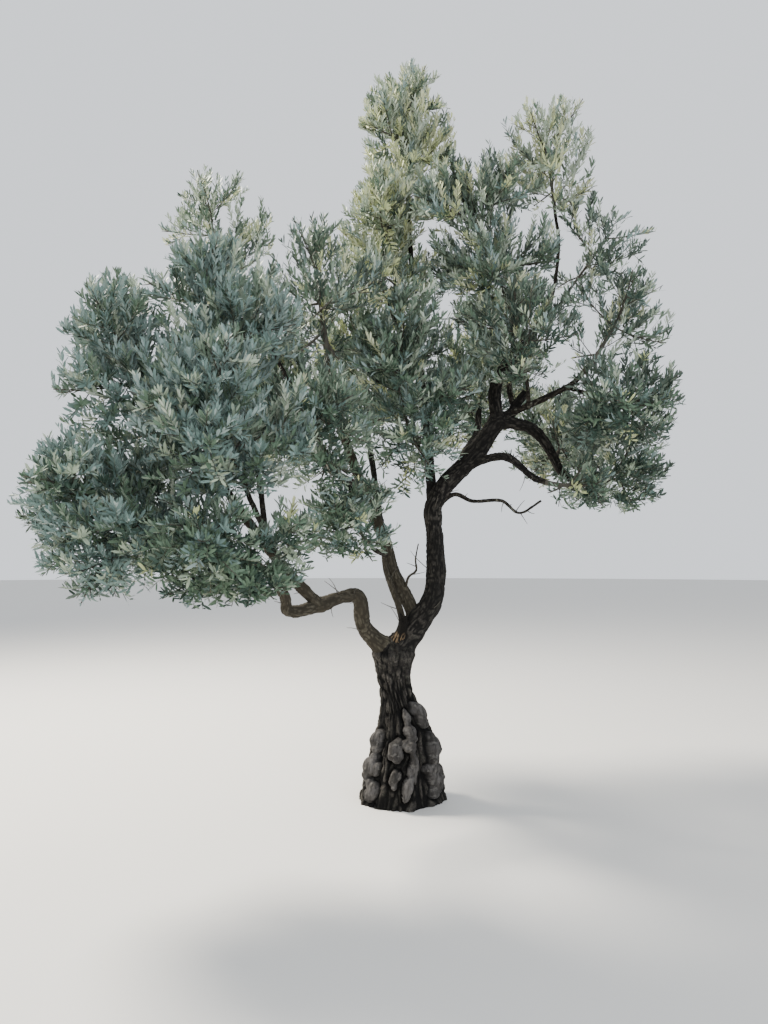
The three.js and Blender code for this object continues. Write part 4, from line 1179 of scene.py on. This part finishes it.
def twig_rods(twigs, rule, foot_radius):
    """Rods along twigs that taper evenly from their foot's radius to the rule's tip."""
    count, points = len(twigs["length"]), rule["segments"] + 1
    share = np.linspace(0, 1, points)
    owner = np.repeat(np.arange(count), points)
    lines = along_twigs(twigs, owner, np.tile(share, count)).reshape(count, points, 3)
    foot = np.broadcast_to(np.asarray(foot_radius, dtype=float), (count,))[:, None]
    return rods(lines, foot * (1 - share) + rule["tip"] * share, rule["sides"])


def joined_rods(parts):
    """Several sets of rods as one list of vertices and of faces by their number of corners."""
    shift = 0
    vertices, squares, ends = [], [], []
    for part_vertices, part_squares, part_ends in parts:
        vertices.append(part_vertices)
        squares.append(part_squares + shift)
        ends.append(part_ends + shift)
        shift += len(part_vertices)
    by_corners = {}
    for face in squares + ends:
        by_corners.setdefault(face.shape[1], []).append(face)
    return np.concatenate(vertices), [np.concatenate(faces) for faces in by_corners.values()]


def spurs_on(skin, random):
    """Bare dead twigs at seeded places on a limb. Each one's way is the way out of the bark plus shares
    of the limb's own way and of up."""
    along, line = skin["along"], skin["line"]
    count = round(along[-1] / SPUR["every"])
    place = random.uniform(*SPUR["within"], count) * along[-1]
    middle, before = points_at(line, along, place), points_at(line, along, place - SPUR_STEP)
    heading = unit(middle - before)
    side, other = square_to(heading)
    turn = random.uniform(0, FULL_TURN, (count, 1))
    out = round_from(side, other, turn)
    way = out + heading * SPUR["forward"] + UP * SPUR["rise"]
    way = unit(way + random.normal(0, SPUR["scatter"], out.shape))
    foot = middle + out * (SPUR["sunk"] * np.interp(place, along, skin["radii"]))[:, None]
    length = random.uniform(*SPUR["length"], count) * random.uniform(*SPUR["shorter"], count)
    bow = unit(random.normal(0, 1, way.shape)) * length[:, None] * SPUR["bow"]
    return some_of(dict(foot=foot, way=way, length=length, bow=bow), clear_along(foot, way, length))


def plain_bark(name, colours):
    """Thin bark: two near colours mixed by noise on Object coordinates, as on wood too thin for plates."""
    material, tree, shader = new_material(name, THIN_BARK["roughness"])
    place, noise = tree.nodes.new("ShaderNodeTexCoord"), tree.nodes.new("ShaderNodeTexNoise")
    noise.inputs["Scale"].default_value = THIN_BARK["noise_scale"]
    tree.links.new(place.outputs["Object"], noise.inputs["Vector"])
    tree.links.new(mixed(tree, noise.outputs["Fac"], *colours), shader.inputs["Base Color"])
    return material


spur_random = np.random.default_rng(SPUR_SEED)
spurs = joined_twigs([spurs_on(skin, spur_random) for skin in skins.values()])
main_rods, side_parts, shoot_parts = [], [], []
# Sets of leafy wood in the order that leaves are drawn on them, with the kind and the mass of each
leafy_parts, leafy_kinds, leafy_masses = [], [], []
for seed, name in enumerate(MASSES, start=1):
    limb_name = next(key for key, limb in LIMBS.items() if limb.get("mass") == name)
    mass = MASSES[name]
    random = np.random.default_rng(MASS_SEED + seed)
    space, heading, curve, stem_radii = grow_stem(name, limb_name)
    twigs, twig_feet = first_twigs(name, seed, space, heading, curve, stem_radii)
    span = curve[-1:] - curve[:1]
    stem = dict(foot=curve[:1], way=unit(span), length=np.linalg.norm(span, axis=1), bow=0 * span)
    side_lift = SIDE_TWIG_LIFT * mass["lift"]
    side_twigs = joined_twigs([
        offshoots(parents, SIDE_TWIG, side_lift, space, random) for parents in (twigs, stem)
    ])
    side_twigs = some_of(side_twigs, random.uniform(0, 1, len(side_twigs["length"])) < mass["full"])
    shoots = joined_twigs([
        offshoots(parents, SHOOT, mass["lift"], space, random) for parents in (side_twigs, twigs, stem)
    ])
    shoots = some_of(shoots, random.uniform(0, 1, len(shoots["length"])) < mass["full"])
    main_rods += [rods(curve[None], stem_radii[None], STEM["sides"]), twig_rods(twigs, TWIG, twig_feet)]
    side_parts.append(side_twigs)
    shoot_parts.append(shoots)
    for kind, part in (("shoot", shoots), ("side twig", side_twigs), ("twig", twigs)):
        leafy_parts.append(part)
        leafy_kinds += [kind] * len(part["length"])
        leafy_masses += [name] * len(part["length"])

twig_rod_sets = main_rods + [twig_rods(joined_twigs(side_parts), SIDE_TWIG, SIDE_TWIG["foot"])]
spur_rod_sets = [twig_rods(spurs, SPUR, SPUR["foot"])]
shoot_rod_sets = [twig_rods(joined_twigs(shoot_parts), SHOOT, SHOOT["foot"])]
twig_bark, shoot_bark = plain_bark("bark_twig", TWIG_COLOURS), plain_bark("bark_shoot", SHOOT_COLOURS)
nodes_of_limbs = [name for name in LIMBS if "beside" not in LIMBS[name]]
for piece_name, rod_sets, finish, nodes, slot in (
    ("spurs", spur_rod_sets, twig_bark, nodes_of_limbs, "young_bark"),
    ("twigs", twig_rod_sets, twig_bark, MASSES, "young_bark"),
    ("shoots", shoot_rod_sets, shoot_bark, MASSES, "foliage"),
):
    piece = placed(piece_name, mesh_of(piece_name, *joined_rods(rod_sets)), finish)
    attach(piece, "root")
    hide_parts(*nodes)

# Leaves: narrow and leathery, in opposite pairs that turn a quarter round from one pair to the next, dull
# grey-green above and silvered below. Each is a thin blade of a square and two triangles that bends down
# a little to its tip.
LEAF = dict(spacing=0.0165, first=0.10, length=0.058, width=0.25, angle=(56, 30), lift=0.55, bend=0.12)
# Shares of the length and of the half width at the blade's two pairs of corners
BLADE = ((0.29, 0.84), (0.72, 0.92))
# A side twig or twig has leaves only past this share of its length
BARE_FOOT = {"shoot": 0, "side twig": 0.35, "twig": 0.7}
# How the leaves scatter round the shoot, away from it and up, and in length and in how they face
LEAF_SCATTER = dict(turn=0.3, angle=0.16, way=0.08, lengths=(0.72, 1.15), face=0.25)
# Leaves near the tip of their shoot are younger and shorter, and a leaf's upper side turns to the sky
YOUNG = dict(shorter=0.45, along=(0.8, 1.0))
FACE_UP = 0.7
# How far a leaf's tip may pass the planes and the edge of its space
LEAF_PAST = dict(planes=0.03, edge=1.02)
# Colours above and below, linear. Besides the leaves' own tints they paint light: the yellow colour of
# sunlit leaves and the silver one are brightened to paint sunlight glowing through the crown, the deep
# one paints shade, and the blue one paints the haze of bright light on the crown's left
LEAF_COLOURS = {
    "deep": ((0.032, 0.057, 0.042), (0.102, 0.134, 0.111)),
    "green": ((0.086, 0.134, 0.088), (0.184, 0.237, 0.184)),
    "blue": ((0.133, 0.196, 0.176), (0.257, 0.330, 0.315)),
    "silver": ((0.284, 0.344, 0.252), (0.430, 0.482, 0.402)),
    "sunlit": ((0.446, 0.486, 0.245), (0.530, 0.552, 0.375)),
}
LEAF_FINISH = dict(roughness=0.6, gloss=0.25)
LEAF_SEED = 77
# How often a shoot takes each colour in each light, in the order above, so that the colours paint the
# light and shade of each mass
LIGHTS = {
    "haze": (0.05, 0.22, 0.57, 0.16, 0.00),
    "green": (0.20, 0.50, 0.18, 0.10, 0.02),
    "shade": (0.42, 0.32, 0.10, 0.12, 0.04),
    "sun": (0.03, 0.16, 0.05, 0.40, 0.36),
    "mixed": (0.10, 0.36, 0.16, 0.26, 0.12),
}

random = np.random.default_rng(LEAF_SEED)
leafy = joined_twigs(leafy_parts)
leafy_kinds, leafy_masses = np.array(leafy_kinds), np.array(leafy_masses)
owner, share, rank = spaced_along(leafy["length"], LEAF["spacing"], LEAF["first"])
kept = share > np.array([BARE_FOOT[kind] for kind in leafy_kinds])[owner]
leaves_kept = np.array([MASSES[name]["leaves"] for name in leafy_masses])
kept &= random.uniform(0, 1, len(owner)) < leaves_kept[owner]
owner, share, rank = (np.repeat(values[kept], 2) for values in (owner, share, rank))
pair_side = np.tile([0.0, math.pi], len(owner) // 2)
heading = heading_along(leafy, owner, share)
side, other = square_to(heading)
phase = random.uniform(0, FULL_TURN, len(leafy["length"]))[owner]
leaf_turn = phase + rank * math.pi / 2 + pair_side + random.normal(0, LEAF_SCATTER["turn"], len(owner))
leaf_turn = leaf_turn[:, None]
outward = round_from(side, other, leaf_turn)
angle = np.radians(LEAF["angle"][0] + (LEAF["angle"][1] - LEAF["angle"][0]) * share)[:, None]
angle = angle + random.normal(0, LEAF_SCATTER["angle"], angle.shape)
way = round_from(heading, outward, angle)
way = unit(way + UP * LEAF["lift"] + random.normal(0, LEAF_SCATTER["way"], outward.shape))
root = along_twigs(leafy, owner, share)
young = 1 - YOUNG["shorter"] * smooth_between(share, *YOUNG["along"])
length = LEAF["length"] * random.uniform(*LEAF_SCATTER["lengths"], len(owner)) * young
upper = heading + UP * FACE_UP + random.normal(0, LEAF_SCATTER["face"], way.shape)
upper = unit(upper - way * (upper * way).sum(-1, keepdims=True))
across = np.cross(way, upper)
tip = root + way * length[:, None]

# Leaves that would leave their space or touch wood are left out, and each shoot takes one colour
mass_names = list(MASSES)
mass_number = np.array([mass_names.index(name) for name in leafy_masses])[owner]
inside = np.zeros(len(owner), dtype=bool)
for number, name in enumerate(mass_names):
    own = mass_number == number
    space = space_of(name)
    offset = tip[own] - space["middle"]
    room = space["edges"] + LEAF_PAST["planes"] - offset @ space["normals"].T
    near = np.linalg.norm(offset / space["half"], axis=1) < LEAF_PAST["edge"]
    inside[own] = near & np.all(room > 0, axis=1)
    candidates = np.flatnonzero(own)[inside[own]]
    inside[candidates] = clear_of_wood(tip[candidates])
light_shares = np.array([LIGHTS[MASSES[name]["light"]] for name in mass_names])
drawn = random.uniform(0, 1, len(leafy["length"]))[owner]
colour_number = (drawn[:, None] > np.cumsum(light_shares[mass_number], axis=1)).sum(axis=1)
colour_number = np.minimum(colour_number, len(LEAF_COLOURS) - 1)


def blades(root, way, upper, across, length):
    """Leaf blades: a base point, two pairs of corners and a tip. Each is the root plus shares of the
    length along the leaf's way and of half the width across it, let down by the square of the share of
    the length."""
    half = length * LEAF["width"] / 2

    def let_down(along_share):
        """The root plus the way times a share of the length, less the upper way times the bend and its
        square."""
        middle = root + way * (length * along_share)[:, None]
        return middle - upper * (length * LEAF["bend"] * along_share**2)[:, None]

    points = [root]
    for along_share, width_share in BLADE:
        edge = across * (half * width_share)[:, None]
        points += [let_down(along_share) - edge, let_down(along_share) + edge]
    points.append(let_down(1))
    vertices = np.stack(points, axis=1).reshape(-1, 3)
    first = np.arange(len(root))[:, None] * len(points)
    triangles = np.concatenate([first + [0, 2, 1], first + [3, 4, 5]])
    return vertices, [first + [1, 2, 4, 3], triangles]


def leaf_material(name, above, below):
    """A leaf's two plain colours, one for each side of the blade, with a dull gloss."""
    material, tree, shader = new_material(name, LEAF_FINISH["roughness"])
    shader.inputs["Specular IOR Level"].default_value = LEAF_FINISH["gloss"]
    behind = tree.nodes.new("ShaderNodeNewGeometry").outputs["Backfacing"]
    tree.links.new(mixed(tree, behind, above, below), shader.inputs["Base Color"])
    return material


for number, (colour_name, (above, below)) in enumerate(LEAF_COLOURS.items()):
    chosen = inside & (colour_number == number)
    vertices, faces = blades(*(values[chosen] for values in (root, way, upper, across, length)))
    piece_name = "leaves_" + colour_name
    finish = leaf_material(piece_name, above, below)
    leaves = placed(piece_name, mesh_of(piece_name, vertices, faces), finish)
    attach(leaves, "root")
    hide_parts(*[mass_names[i] for i in np.unique(mass_number[chosen])])
